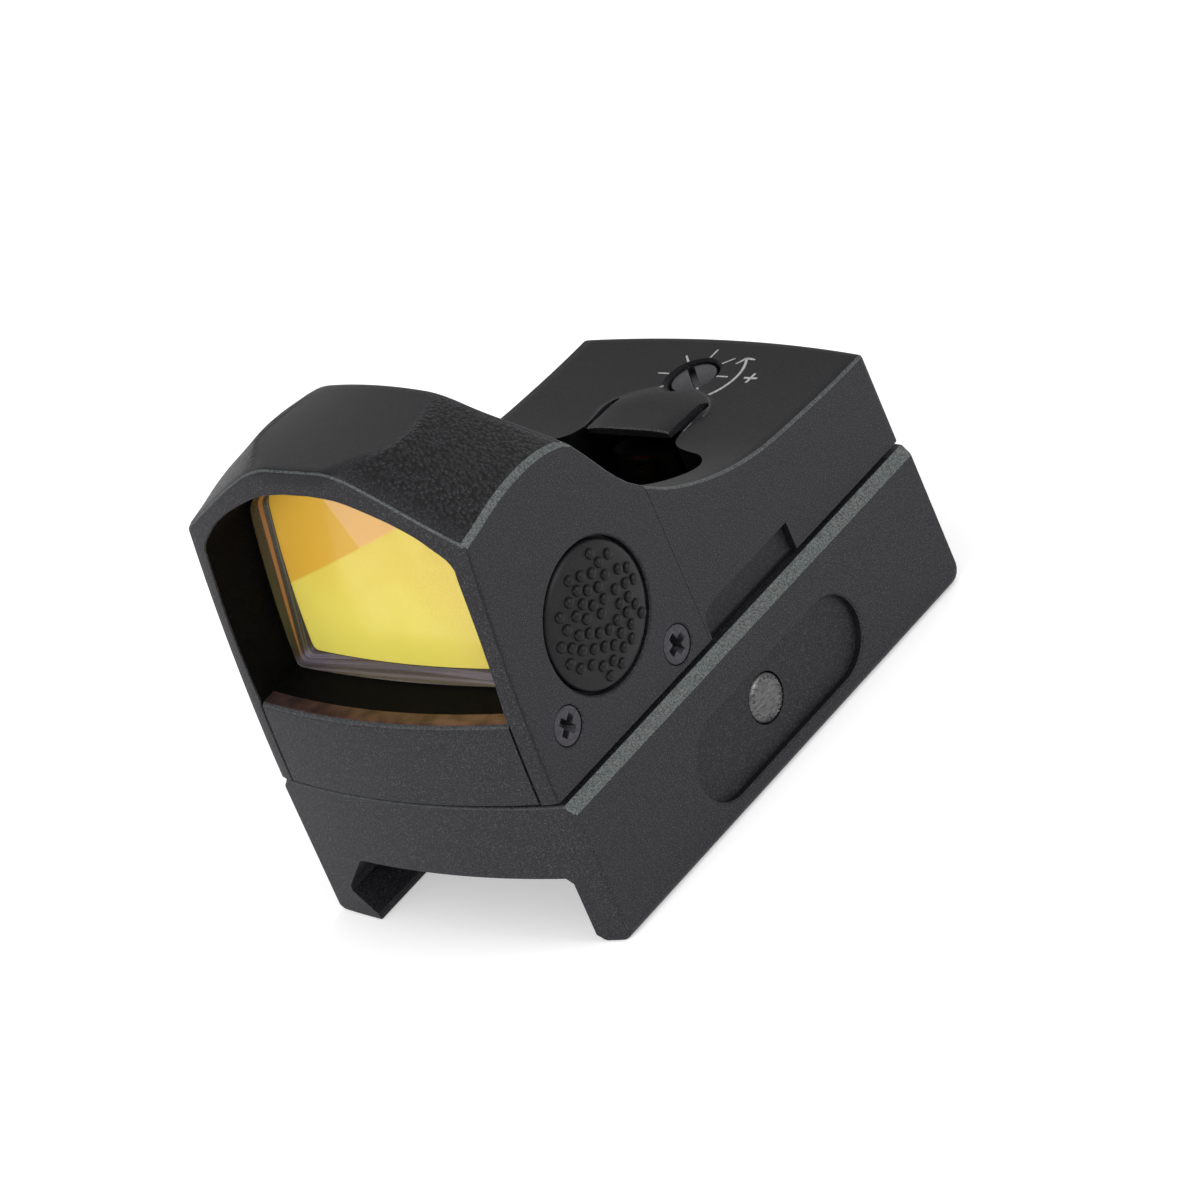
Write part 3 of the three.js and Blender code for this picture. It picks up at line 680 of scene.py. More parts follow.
def rear_block_section(y, sink, bow):
    """One ring around the rear block; sink draws it in at the rounded rear edge."""
    half = HALF - sink
    edge = 0.22
    outer = np.linspace(6, half - edge, 10)[1:]
    xs = np.concatenate([-outer[::-1], np.linspace(-6, 6, 61), outer])

    def spot(x, z):
        return (x, y + bow * BOW_REAR * (1 - (x / HALF) ** 2), z)

    ring = [spot(x, 0.0) for x in xs]
    ring.append(spot(half, 0.0))
    top = deck(y) - sink
    mid = 0.065
    ring += [spot(half, top - edge), spot(half - mid, top - mid), spot(half - edge, top)]
    ring += [spot(x, top + canopy_rise(x, y)) for x in xs[::-1][1:]]
    ring += [spot(-half + mid, top - mid), spot(-half, top - edge), spot(-half, 0.0)]
    return ring


stations = [(y, 0.0, max(0.0, (y - 36) / (BODY_REAR - 36)) ** 2)
            for y in np.linspace(20.31, BODY_REAR - 0.3, 90)]
stations += [(BODY_REAR - 0.088, 0.088, 1.0), (BODY_REAR, 0.3, 1.0)]
block_sections = [rear_block_section(*station) for station in stations]
block_points, block_faces = loft(block_sections)
# the bowed rear end is closed with strips, because one flat cap would shade badly; they start part
# of the way along the lower edge, so a thin sliver under the rear edge stays open
del block_faces[-1]
STRIP_POINTS = 138
first = len(block_points) - STRIP_POINTS
columns = (STRIP_POINTS - 6) // 2
over = 2 * columns + 1
strips = [(j, j + 1, over - j, over + 1 - j) for j in range(columns - 1)]
strips += [[columns + k for k in (-1, 0, 1, 2, 3)], (0, over + 1, over + 2, over + 3, over + 4)]
block_faces += [[first + k for k in strip] for strip in strips]
body = new_piece("body_block", block_points, block_faces, body_black)


def sill_section(x):
    ring = [(x, housing_front(x, 0.0) + 0.1, 0.0), (x, housing_front(x, 0.1), 0.12)]
    ring += [(x, housing_front(x, z), z) for z in (2.0, 4.0, 6.0)]
    brow = housing_front(x, STRIP_TOP)
    ring += [(x, brow + drop, STRIP_TOP - inset) for inset, drop in rounded(0.45, 4)]
    ring += [(x, brow + 1.6, STRIP_TOP), (x, lens_seat(STRIP_TOP), STRIP_TOP), (x, lens_seat(FLOOR), FLOOR),
             (x, 21.5, FLOOR), (x, 21.5, 0.0)]
    return ring


sill = loft([sill_section(x) for x in np.linspace(-12.35, 12.35, 41)])
carve(body, [sill], "UNION")


def prism(outline, low, high, axis):
    """A straight form with the outline in the two other axes."""
    spots = {"x": lambda a, b, h: (h, a, b), "y": lambda a, b, h: (a, h, b), "z": lambda a, b, h: (a, b, h)}
    rings = [[spots[axis](a, b, h) for a, b in outline] for h in (low, high)]
    return loft(rings)


HOLLOW_EDGE = smooth_path([(HOLLOW_HALF, 27.2), (11.0, 28.8), (10.3, 30.1), (9.2, 31.0), (7.6, 31.5),
                           (6.2, 32.1),
                           (5.3, 33.0), (SLOT_HALF, 34.2)], 4)
hollow_half = [(HOLLOW_HALF, 19.0)] + [tuple(p) for p in HOLLOW_EDGE] + [(SLOT_HALF, 37.9), (4.45, 38.4),
                                                                        (CANOPY_HALF, 37.9)]
hollow = hollow_half + [(CANOPY_HALF, CANOPY_FRONT), (-CANOPY_HALF, CANOPY_FRONT)]
hollow += [(-a, b) for a, b in reversed(hollow_half)]
under_canopy = [(30.0, 3.4), (30.0, 8.3), (33.6, 8.45), (34.4, 8.4), (38, 7.6), (38, 3.4)]


def notch(side):
    centre = (21.9, 1.05)
    arc = [(centre[0] + 1.4 * math.cos(a), centre[1] + 1.4 * math.sin(a)) for a in np.linspace(math.pi / 2,
                                                                                               math.pi, 9)]
    outline = [(32.05, -1), (32.05, 2.45)] + arc + [(20.5, -1)]
    low, high = (HALF - 0.7, 15) if side > 0 else (-15, 0.7 - HALF)
    return prism(outline, low, high, "x")


dial_well = lathe([(0, 0), (2.15, 0), (2.15, 0.95), (2.4, 1.2), (3.4, 2.2), (0, 2.2)], (0, 0, 1),
                  (*DIAL, 6.95), 64)
windage_well = lathe([(0, 0), (2.1, 0), (2.1, 3.3), (2.2, 3.4), (3.0, 4.2), (0, 4.2)], (-1, 0, 0),
                     (-10.6, 36.6, 4.6), 48)
lock_wells = [lathe([(0, 0), (1.05, 0), (1.05, 4), (0, 4)], (0, 1, 0), (x, 43.6, 4.4), 32) for x in (0.0,
                                                                                                     -6.0)]
carve(body, [prism(hollow, FLOOR, 16, "z"), prism(under_canopy, -SLOT_HALF, SLOT_HALF, "x"), notch(1),
             notch(-1),
             dial_well, windage_well] + lock_wells + screw_holes)


def ease_edges(piece, width, angle=50, segments=2):
    step = piece.modifiers.new("edges", "BEVEL")
    step.width = width * MM
    step.segments = segments
    step.limit_method = "ANGLE"
    step.angle_limit = math.radians(angle)
    step.use_clamp_overlap = True
    step.miter_outer = "MITER_ARC"
    settle(piece)
    tidy(piece, weld=0.002, turn_out=False)


lip_cut = []
for x in np.linspace(-4.3, 4.3, 23):
    top = deck(CANOPY_FRONT) + canopy_rise(x, CANOPY_FRONT)
    lip_cut.append([(x, CANOPY_FRONT - 0.1, top - 0.22), (x, CANOPY_FRONT + 0.4, top + 0.28),
                    (x, CANOPY_FRONT - 0.1, top + 0.28)])
carve(body, [loft(lip_cut)])
ease_edges(body, 0.08, 55, 2)


# The deck's side rims, the canopy's front lip, the slit edges and the sill's front edge are marked for
# painted highlights.
def body_highlights(middles, looks):
    x, y, z = np.abs(middles[:, 0]), middles[:, 1], middles[:, 2]
    side_rim = (x > HALF - 0.24) & (looks[:, 2] > 0.3) & (np.abs(looks[:, 0]) > 0.3) & (y > 20.4)
    front_lip = (y < CANOPY_FRONT + 0.2) & (y > CANOPY_FRONT - 0.2) & (x < CANOPY_HALF + 0.1) & (z > 8)
    sloping = (looks[:, 2] > 0.35) & (looks[:, 2] < 0.97)
    sill_lip = (y - housing_front(x, z) < 0.44) & (z > 6.7) & sloping & (x < 12.4)
    slit_rim = (np.abs(x - 4.1) < 0.12) | (np.abs(x - 4.9) < 0.12)
    slit_rim &= (y > 33.6) & (y < 38) & (looks[:, 2] > 0.25) & (looks[:, 2] < 0.95)
    lip = front_lip & (looks[:, 2] > 0.25) & (looks[:, 2] < 0.95)
    return np.maximum(np.maximum(side_rim * 0.62, (lip | slit_rim) * 0.85), sill_lip * 0.35)


# Up-facing deck faces take the darker deck finish and are painted darker: painted shade.
def body_deck(middles, looks):
    on_top = (looks[:, 2] > 0.7) & (middles[:, 1] > 20.4) & (middles[:, 2] > 7.8)
    return on_top & (body_highlights(middles, looks) == 0)


# The sill top just in front of the lens, more towards the right, is marked for the painted reflection of
# the lens.
def body_lens_reflection(middles, looks):
    x, y, z = middles[:, 0], middles[:, 1], middles[:, 2]
    on_top = (np.abs(z - STRIP_TOP) < 0.05) & (looks[:, 2] > 0.8) & (y < 12)
    return on_top * (y - housing_front(x, z) < 1.62) * np.interp(x, (-12, -4, 12), (0.2, 0.5, 0.95))


# Faces under the lens, inside the body below the deck and in the side notches are marked darker: painted
# shade.
def body_painted_shade(middles, looks):
    x, y, z = np.abs(middles[:, 0]), middles[:, 1], middles[:, 2]
    under_lens = (np.abs(z - STRIP_TOP) < 0.05) & (y - housing_front(x, z) >= 1.62) & (y < 12)
    inside = under_lens | ((z < deck(y) - 0.8) & (x < 11.5) & (y > 9) & (y < 45))
    in_notch = (x > HALF - 0.72) & (x < HALF - 0.1) & (z < 2.5) & (y > 20.45) & (y < 32.1)
    return np.maximum(inside * 0.9, in_notch * np.where(np.abs(looks[:, 0]) > 0.9, 0.42, 0.75))


mark_faces(body, "edge", body_highlights)
mark_faces(body, "gloss_and_reflection", body_lens_reflection)
mark_faces(body, "polish_and_top_shade", body_deck, deck_shaded_black)
mark_faces(body, "painted_shade", body_painted_shade, shade_black)
finish_piece(body, "housing", ["main_body"])

# ---- Rail clamp base --------------------------------------------------------------------------
# A solid machined block with the rail groove milled along it: a fixed hook on one side, a slot
# for the sliding jaw on the other. Its long top edges have a 45 degree chamfer with a painted highlight.
base_black = black_anodised("base_black_anodised")
BASE_HALF = 14.75
BASE_TOP = -0.5
BASE_BOTTOM = -13.0
BOLT_Y, BOLT_Z = 23.1, -7.4


def base_section(x):
    away = abs(x)
    reach = max(0.0, away - 14.0)
    top = BASE_TOP - reach * 0.85 / 0.75
    low = BASE_BOTTOM + (0.8 - math.sqrt(max(0.0, 0.8 ** 2 - max(0.0, away - 13.95) ** 2)))
    ease = 0.25 - math.sqrt(max(0.0, 0.25 ** 2 - max(0.0, away - 14.5) ** 2))
    bow = 1 - (x / BASE_HALF) ** 2
    front = 0.54 - BOW * bow + ease
    rear = BODY_REAR + 0.1 + BOW_REAR * bow - ease
    corner = 0.2
    ring = []
    for a in np.linspace(0, math.pi / 2, 4):
        ring.append((x, front + corner * (1 - math.cos(a)), top - corner * (1 - math.sin(a))))
    for a in np.linspace(math.pi / 2, 0, 4):
        ring.append((x, rear - corner * (1 - math.cos(a)), top - corner * (1 - math.sin(a))))
    low_corner = 1.0
    for a in np.linspace(0, math.pi / 2, 5):
        ring.append((x, rear - low_corner * (1 - math.cos(a)), low + low_corner * (1 - math.sin(a))))
    for a in np.linspace(math.pi / 2, 0, 4):
        ring.append((x, front + corner * (1 - math.cos(a)), low + corner * (1 - math.sin(a))))
    return ring


edge_steps = [14.0, 14.2, 14.4, 14.55, 14.66, 14.72, 14.75]
base_xs = [-x for x in reversed(edge_steps)] + list(np.linspace(-13.5, 13.5, 37)) + edge_steps
base = new_piece("base_block", *loft([base_section(x) for x in base_xs]), base_black)
groove = [(12.7, -14), (12.55, -12.9), (11.9, -12.35), (11.9, -7.6), (11.4, -7.1), (-8.7, -7.1),
          (-9.15, -7.25),
          (-11.8, -10.1), (-11.85, -10.6), (-9.85, -12.4), (-9.8, -12.75), (-10.1, -14)]
POCKET_R = 3.55
pocket_ends = (13.06 + POCKET_R, 34.55 - POCKET_R)


def stadium(radius, steps=20):
    turns = [(pocket_ends[1], a) for a in np.linspace(-math.pi / 2, math.pi / 2, steps)]
    turns += [(pocket_ends[0], a) for a in np.linspace(math.pi / 2, 3 * math.pi / 2, steps)]
    return [(y + radius * math.cos(a), -7.9 + radius * math.sin(a)) for y, a in turns]


pocket_rings = [[(x, y, z) for y, z in stadium(POCKET_R + flare)]
                for x, flare in ((14.05, 0.0), (14.6, 0.0), (14.75, 0.15), (15.5, 0.9))]
bolt_hole = lathe([(0, 0), (2.05, 0), (2.05, 27.6), (0, 27.6)], (1, 0, 0), (-13, BOLT_Y, BOLT_Z), 48)
head_well = lathe([(0, 0), (3.6, 0), (3.6, 2.2), (3.75, 2.35), (4.6, 3.2), (0, 3.2)], (-1, 0, 0),
                  (-12.4, BOLT_Y, BOLT_Z), 64)


def block(x0, x1, y0, y1, z0, z1):
    return prism([(x0, y0), (x1, y0), (x1, y1), (x0, y1)], z0, z1, "z")


carve(base, [prism(groove, -5, 60, "y"), loft(pocket_rings), bolt_hole, head_well,
             block(11.4, 13.2, 8.8, 37.2, -14, -7.1), block(7.6, 13.2, 19.2, 27.0, -7.3, -4.1)])
seat_screws = [lathe([(0, 0), (2.2, 0), (2.2, 3.0), (0, 3.0)], (0, 0, 1), (x, y, -8.1), 40)
               for x, y in ((-6.5, 30.5), (6.5, 30.5))]
seat_screws.append(lathe([(0, 0), (1.9, 0), (1.9, 3.0), (0, 3.0)], (0, 0, 1), (0, 1.9, -8.1), 40))
carve(base, seat_screws)
ease_edges(base, 0.1, 48, 2)


# The long top chamfers and the front top rim of the base are marked for painted highlights.
def base_highlights(middles, looks):
    x, z = np.abs(middles[:, 0]), middles[:, 2]
    chamfer = (x > 13.98) & (z > -1.40) & (z < -0.48) & (looks[:, 2] > 0.2)
    front_rim = (middles[:, 1] < 1) & (z > -0.72) & (looks[:, 2] > 0.25) & (looks[:, 1] < -0.25)
    return np.maximum(chamfer, front_rim * 0.3)


# The walls of the bolt pocket are marked darker, and its floor a little: painted shade.
def base_painted_shade(middles, looks):
    x, y, z = middles[:, 0], middles[:, 1], middles[:, 2]
    pocket = (x > 14.0) & (x < 14.66) & (z < -4.2) & (z > -11.6) & (y > 13.0) & (y < 34.6)
    return pocket * np.where(np.abs(looks[:, 0]) > 0.9, 0.2, 0.78)


mark_faces(base, "edge", base_highlights)
mark_faces(base, "painted_shade", base_painted_shade)
finish_piece(base, "housing", ["rail_mount"])

# ---- Window -----------------------------------------------------------------------------------
# Two cemented elements of glass: a clear front one, and a rear one whose joined face carries the
# gold coating that reflects the dot. The ground edge of the front one shows dark through it.
LENS_FRONT, LENS_JOIN, LENS_REAR = 5.0, 6.45, 7.8
window_half = [(0.0, 7.2), (6.0, 7.2), (11.75, 7.2), (12.05, 7.35), (12.15, 7.7), (12.2, 12.0),
               (12.2, 16.0)]
window_half += [(x - 0.25, z - 0.15) for x, z in POCKET_ARCH[2:-2]]
window_path = np.array(window_half + [(0.0, 26.0)])
window_path = along(window_path, np.linspace(0, 1, 110))
window_rim = np.vstack([window_path, (window_path * (-1, 1))[-2:0:-1]])
window_middle = np.array((0.0, 15.8))


def lens_face(offset, radius, spots):
    x, z = spots[:, 0], spots[:, 1]
    y = offset + LENS_TILT * (z - LENS_MID_Z) + (x * x + (z - LENS_MID_Z) ** 2) / (2 * radius)
    return np.stack([x, y, z], axis=1)


def lens_element(name, front, front_radius, rear, rear_radius, finish, inset=0.0):
    rim = window_middle + (window_rim - window_middle) * (1 - inset / 11.0)
    shares = np.concatenate([np.linspace(0.04, 0.97, 10), [0.992, 1.0]])
    rings = [lens_face(front + (0.09 if s == 1.0 else 0.0), front_radius,
                       window_middle + (rim - window_middle) * s)
             for s in shares]
    rings += [lens_face(rear - (0.09 if s == 1.0 else 0.0), rear_radius,
                        window_middle + (rim - window_middle) * s)
              for s in shares[::-1]]
    return new_piece(name, *loft(rings), finish)


clear_glass = Finish("clear_glass", (0.5, 0.42, 0.2), 0.04, 0.0, Alpha=0.06, Specular_IOR_Level=0.2)
haze = clear_glass.noise(0.35, 2.0, 0.5)
clear_glass.set("Roughness", 0.03 + 0.05 * haze)
clear_glass.set("Alpha", 0.03 + 0.03 * haze)
clear_glass.bump(haze, 0.05, 0.02)

gold_coating = Finish("gold_coating", (0.73, 0.61, 0.10), 0.22, 0.0, Specular_IOR_Level=0.3,
                      Coat_Weight=0.1)
gx, _, gz = gold_coating.axes()
gz = gz - DATUM.z / MM
level_line = gz - 17.3 - 0.43 * (gx + 2.4)
split_line = (gx + 2.4) + (gz - 17.3) * 0.72
streak = gold_coating.noise(0.22, 3.0, 0.6)
above = level_line.ramp(-0.15, 0.2)
amber_share = above * (1 - split_line.ramp(-0.12, 0.12))
pink_share = above * split_line.ramp(-0.12, 0.12) * (1 - (gx * 0.16 - 0.1).ramp(0.1, 0.9) * 0.5)
gold = gold_coating.mix((gz * 0.1 - 0.8).ramp(0.0, 1.0), (0.56, 0.49, 0.070), (0.52, 0.40, 0.055))
gold = gold_coating.mix((gx * 0.08 + 0.2).ramp(0.2, 1.0) * 0.6, gold, (0.53, 0.38, 0.09))
gold = gold_coating.mix(streak.ramp(0.45, 0.62) * 0.25, gold, (0.59, 0.52, 0.10))
gold = gold_coating.mix(pink_share * 0.85, gold, (0.54, 0.29, 0.11))
gold = gold_coating.mix(amber_share * 0.92, gold, (0.48, 0.26, 0.016))
gold_coating.set("Base Color", gold)
gold_coating.set("Roughness", 0.2 + 0.08 * streak)
# The coating glows faintly in its own colour: a painted glow.
gold_coating.set("Emission Color", gold)
gold_coating.set("Emission Strength", 0.28)
gold_coating.bump(streak, 0.02, 0.004)

front_glass = lens_element("front_glass", LENS_FRONT, 100, LENS_JOIN - 0.04, 80, clear_glass)
finish_piece(front_glass, "housing", ["front_lens_element"], 50)
rear_glass = lens_element("rear_glass", LENS_JOIN + 0.02, 80, LENS_REAR, 90, gold_coating, 0.55)
finish_piece(rear_glass, "housing", ["rear_lens_element"], 50)

ground_edge = Finish("ground_glass_edge", (0.02, 0.012, 0.01), 0.3, 0.0, Specular_IOR_Level=0.5)
ex, ey, ez = ground_edge.axes()
depth = ey - DATUM.y / MM - LENS_TILT * (ez - DATUM.z / MM - LENS_MID_Z)
across = ground_edge.node("ShaderNodeCombineXYZ", {}, {0: depth * 3.4, 1: ez * 0.04, 2: ex * 0.04})
lines = ground_edge.noise(1.0, 2.0, 0.5, across)
orange = ground_edge.noise(0.7, 1.0, 0.5, across)
low = 1 - (ez - DATUM.z / MM).ramp(7.3, 8.4)
# The pale streaks and orange glints on the dark ground edge are painted highlights and reflections; near
# the bottom the tone turns a lighter purple-grey.
side_tone = ground_edge.mix(lines.ramp(0.55, 0.66), (0.006, 0.004, 0.003), (0.085, 0.073, 0.062))
side_tone = ground_edge.mix(orange.ramp(0.58, 0.64) * 0.85, side_tone, (0.34, 0.13, 0.02))
foot_tone = ground_edge.mix(lines.ramp(0.42, 0.66), (0.040, 0.032, 0.056), (0.155, 0.135, 0.215))
ground_edge.set("Base Color", ground_edge.mix(low, side_tone, foot_tone))
ground_edge.set("Roughness", 0.25 + 0.2 * lines)
ground_edge.bump(lines, 0.1, 0.03)
edge_rings = []
for y_share, inset in ((0.06, 0.10), (0.5, 0.2), (0.97, 0.62)):
    rim = window_middle + (window_rim - window_middle) * (1 - inset / 11.0)
    front_rim = lens_face(LENS_FRONT, 100, rim)
    back_rim = lens_face(LENS_JOIN, 80, rim)
    edge_rings.append(front_rim + (back_rim - front_rim) * y_share)
outer_rings = [ring + (ring - ring.mean(axis=0)) * (0.004, 0.0, 0.004) for ring in edge_rings[::-1]]
glass_edge = new_piece("glass_edge_band", *loft(outer_rings + edge_rings, closed=True), ground_edge)
finish_piece(glass_edge, "housing", [], 60)

# ---- Parts taken over from the machining drawing ------------------------------------------------
# Small turned, punched and moulded parts keep their drawn form, with every edge broken.
def mottled(name, base, roughness, metallic, scale, spread, relief, stretch=(1, 1, 1), **fixed):
    finish = Finish(name, base, roughness, metallic, **fixed)
    where = finish.node("ShaderNodeVectorMath", {"operation": "MULTIPLY"}, {0: finish.place(), 1: stretch})
    grain = finish.noise(scale, 3.0, 0.6, where)
    drift = finish.noise(0.4, 2.0, 0.5)
    dark = tuple(c * (1 - spread) for c in base)
    light = tuple(min(1.0, c * (1 + spread)) for c in base)
    tone = finish.mix(grain.ramp(0.3, 0.7), dark, light)
    finish.set("Base Color", finish.mix(drift * 0.4, tone, tuple(c * 0.8 for c in base)))
    finish.set("Roughness", roughness * 0.8 + roughness * 0.4 * grain)
    finish.bump(grain, 0.4, relief)
    return finish


FINISHES = {
    "base_black": base_black,
    "rubber_black": mottled("rubber_black", (0.0050, 0.0048, 0.0058), 0.42, 0.0, 5.0, 0.5, 0.02,
                            Specular_IOR_Level=0.18),
    "black_oxide_screw": mottled("black_oxide", (0.044, 0.042, 0.048), 0.34, 0.8, 6.0, 0.35, 0.015),
    "steel": mottled("turned_steel", (0.115, 0.115, 0.115), 0.42, 1.0, 2.0, 0.45, 0.03, (1, 1, 5)),
    "brass": mottled("machined_brass", (0.58, 0.42, 0.15), 0.28, 1.0, 3.0, 0.2, 0.012, (1, 6, 6)),
    "plastic_black": mottled("moulded_plastic", (0.014, 0.014, 0.015), 0.42, 0.0, 4.0, 0.3, 0.01),
    "circuit_board": mottled("solder_mask", (0.012, 0.075, 0.028), 0.25, 0.0, 2.5, 0.45, 0.02, (1, 1, 4),
                             Coat_Weight=0.5),
    "led_resin": mottled("red_resin", (0.030, 0.003, 0.002), 0.3, 0.0, 2.0, 0.25, 0.01,
                         Specular_IOR_Level=0.15),
    "blackened_brass": mottled("blackened_brass", (0.0035, 0.0030, 0.0028), 0.6, 0.0, 3.0, 0.4, 0.012,
                               Specular_IOR_Level=0.1),
    "foam": mottled("black_foam", (0.018, 0.018, 0.018), 0.95, 0.0, 3.0, 0.6, 0.12),
}
EASED = {"clamp_jaw": 0.2, "windage_screw": 0.06, "coin_cell": 0.15, "tact_switch": 0.08,
         "battery_pad": 0.2}
slot_of = {part["node"]: part["material_slot"] for part in frame["record"]["subparts"]}
body_of = {node: name for name, nodes in frame["record"]["behaviour"]["bodies"].items() for node in nodes}


def take_over(node_name):
    """A copy of the drawn part with its edges broken, on the same body."""
    source = frame["nodes"][node_name]
    piece = bpy.data.objects.new(node_name + "_eased", source.data.copy())
    bpy.context.scene.collection.objects.link(piece)
    piece.data.materials.clear()
    # Parts deep in the body's dark space take the near-black finish instead of their own: painted shade.
    in_the_dark = node_name in ("elevation_slide", "windage_carrier", "emitter_aperture")
    piece.data.materials.append(FINISHES["blackened_brass" if in_the_dark else slot_of[node_name]].material)
    tidy(piece)
    ease_edges(piece, EASED.get(node_name, 0.04), 38, 2)
    finish_piece(piece, body_of[node_name], [node_name])


own_shape = {"lens_hood", "main_body", "rail_mount", "front_lens_element", "rear_lens_element",
             "power_button",
             "elevation_screw", "clamp_bolt", "elevation_spring", "windage_spring"}
own_shape |= {name for name in slot_of if name.startswith("hood_screw")}
for name in slot_of:
    if name not in own_shape:
        take_over(name)

# ---- Return springs ---------------------------------------------------------------------------
# Two small springs of round steel wire, wound with open coils, take the play out of the two
# adjusting slides. The windage one is a little short, which leaves the carrier its full travel.
def wound_spring(node_name, radius, turns, start, end, winding_axis, centre):
    forward = Vector(winding_axis)
    side = forward.orthogonal().normalized()
    other = forward.cross(side)
    wire = 0.18
    rings = []
    for step in range(turns * 24 + 1):
        share = step / (turns * 24)
        angle = 2 * math.pi * turns * share
        out = side * math.cos(angle) + other * math.sin(angle)
        middle = Vector(centre) + forward * (start + (end - start) * share) + out * radius
        rings.append([middle + (out * math.cos(a) + forward * math.sin(a)) * wire
                      for a in np.linspace(0, 2 * math.pi, 10, endpoint=False)])
    spring = new_piece(node_name + "_wire", *loft(rings), FINISHES["steel"])
    finish_piece(spring, body_of[node_name], [node_name], 60)


wound_spring("elevation_spring", 1.05, 4, 1.6, 4.6, (0, 0, 1), (-6, 41, 0))
wound_spring("windage_spring", 1.15, 3, 3.23, 5.85, (1, 0, 0), (0, 36.6, 4.6))

# ---- Power button -----------------------------------------------------------------------------
# A moulded rubber cap with a low dome, gripped by some forty small round bumps.
cap_profile = [(0, -1.3), (1.4, -1.3), (1.4, 0.05), (5.62, 0.05), (5.68, 0.12), (5.72, 0.55), (5.66, 0.8),
               (5.5, 0.93),
               (5.2, 1.02), (4.9, 1.07), (4.6, 1.12), (3.6, 1.25), (2.4, 1.35), (1.2, 1.40), (0, 1.41)]
button = new_piece("button_cap", *lathe(cap_profile, (1, 0, 0), (RECESS_X, BUTTON_Y, BUTTON_Z), 96),
                   FINISHES["rubber_black"])
spots = spots_of(button)
reach_out = np.hypot(spots[:, 1] - BUTTON_Y, spots[:, 2] - BUTTON_Z)
mark(button, "grip", (spots[:, 0] > RECESS_X + 1.0) & (reach_out < 4.8))


def geometry_tree(name, inputs):
    tree = bpy.data.node_groups.new(name, "GeometryNodeTree")
    tree.interface.new_socket(name="Geometry", in_out="INPUT", socket_type="NodeSocketGeometry")
    for label, kind in inputs:
        tree.interface.new_socket(name=label, in_out="INPUT", socket_type="NodeSocket" + kind)
    tree.interface.new_socket(name="Geometry", in_out="OUTPUT", socket_type="NodeSocketGeometry")
    start = tree.nodes.new("NodeGroupInput")
    end = tree.nodes.new("NodeGroupOutput")

    def add(kind, settings=None, values=None):
        made = tree.nodes.new("GeometryNode" + kind if not kind.startswith(("Shader",
                                                                            "Function")) else kind)
        for key, value in (settings or {}).items():
            setattr(made, key, value)
        for key, value in (values or {}).items():
            if isinstance(value, bpy.types.NodeSocket):
                tree.links.new(value, made.inputs[key])
            else:
                made.inputs[key].default_value = value
        return made

    return tree, start, end, add


def stamp(tree, start, end, add, points, pattern, rotation, base=None):
    """Sets the pattern on every point, makes the copies real, joins them to the base and paints them."""
    placed = add("InstanceOnPoints", {}, {"Points": points, "Instance": pattern, "Rotation": rotation})
    made = add("RealizeInstances", {}, {"Geometry": placed.outputs["Instances"]}).outputs["Geometry"]
    if base is not None:
        joined = add("JoinGeometry")
        tree.links.new(made, joined.inputs["Geometry"])
        tree.links.new(base, joined.inputs["Geometry"])
        made = joined.outputs["Geometry"]
    painted = add("SetMaterial", {}, {"Geometry": made, "Material": start.outputs["Finish"]})
    tree.links.new(painted.outputs["Geometry"], end.inputs["Geometry"])


def grow(piece, tree, settings):
    """Runs a tree on the piece with the named inputs, and keeps the result as its mesh."""
    step = piece.modifiers.new("grow", "NODES")
    step.node_group = tree
    for item in tree.interface.items_tree:
        if item.item_type == "SOCKET" and item.in_out == "INPUT" and item.name in settings:
            step[item.identifier] = settings[item.name]
    settle(piece)


bump_tree, start, end, add = geometry_tree("grip_bumps",
                                           [("Spacing", "Float"), ("Bump Size", "Float"), ("Seed", "Int"),
                                                          ("Finish", "Material")])
grip = add("InputNamedAttribute", {"data_type": "FLOAT"}, {"Name": "grip"})
spread = add("DistributePointsOnFaces", {"distribute_method": "POISSON"},
             {"Mesh": start.outputs["Geometry"], "Selection": grip.outputs["Attribute"],
              "Distance Min": start.outputs["Spacing"], "Density Max": 4.0e7,
              "Seed": start.outputs["Seed"]})
ball = add("MeshIcoSphere", {}, {"Radius": start.outputs["Bump Size"], "Subdivisions": 4})
squash = add("Transform", {}, {"Geometry": ball.outputs["Mesh"], "Scale": (1.0, 1.0, 0.72)})
stamp(bump_tree, start, end, add, spread.outputs["Points"], squash.outputs["Geometry"],
      spread.outputs["Rotation"], start.outputs["Geometry"])
grow(button, bump_tree, {"Spacing": 1.08 * MM, "Bump Size": 0.45 * MM, "Seed": 5,
                         "Finish": FINISHES["rubber_black"].material})
finish_piece(button, "power_button", ["power_button"], 40)

# ---- Side screws ------------------------------------------------------------------------------
# Four countersunk M1.6 cross-head screws in black oxide pull the hood to the body.
head_profile = [(0, -2.9), (0.8, -2.9), (0.8, -1.25), (SCREW_HEAD_R, -0.42), (SCREW_HEAD_R, -0.2),
                (1.50, -0.13),
                (1.42, -0.10), (0, -0.10)]
seed_screw = new_piece("screw_pattern", *lathe(head_profile, (0, 0, 1), (0, 0, 0), 48),
                       FINISHES["black_oxide_screw"])


def cross_arm(long_way):
    half_long, half_short = 0.95, 0.24
    rings = []
    for z, shrink in ((-1.1, 0.5), (0.5, 1.3)):
        a, b = half_long * shrink, half_short * (shrink + 0.35)
        if long_way == "y":
            a, b = b, a
        rings.append([(-a, -b, z), (a, -b, z), (a, b, z), (-a, b, z)])
    return loft(rings)


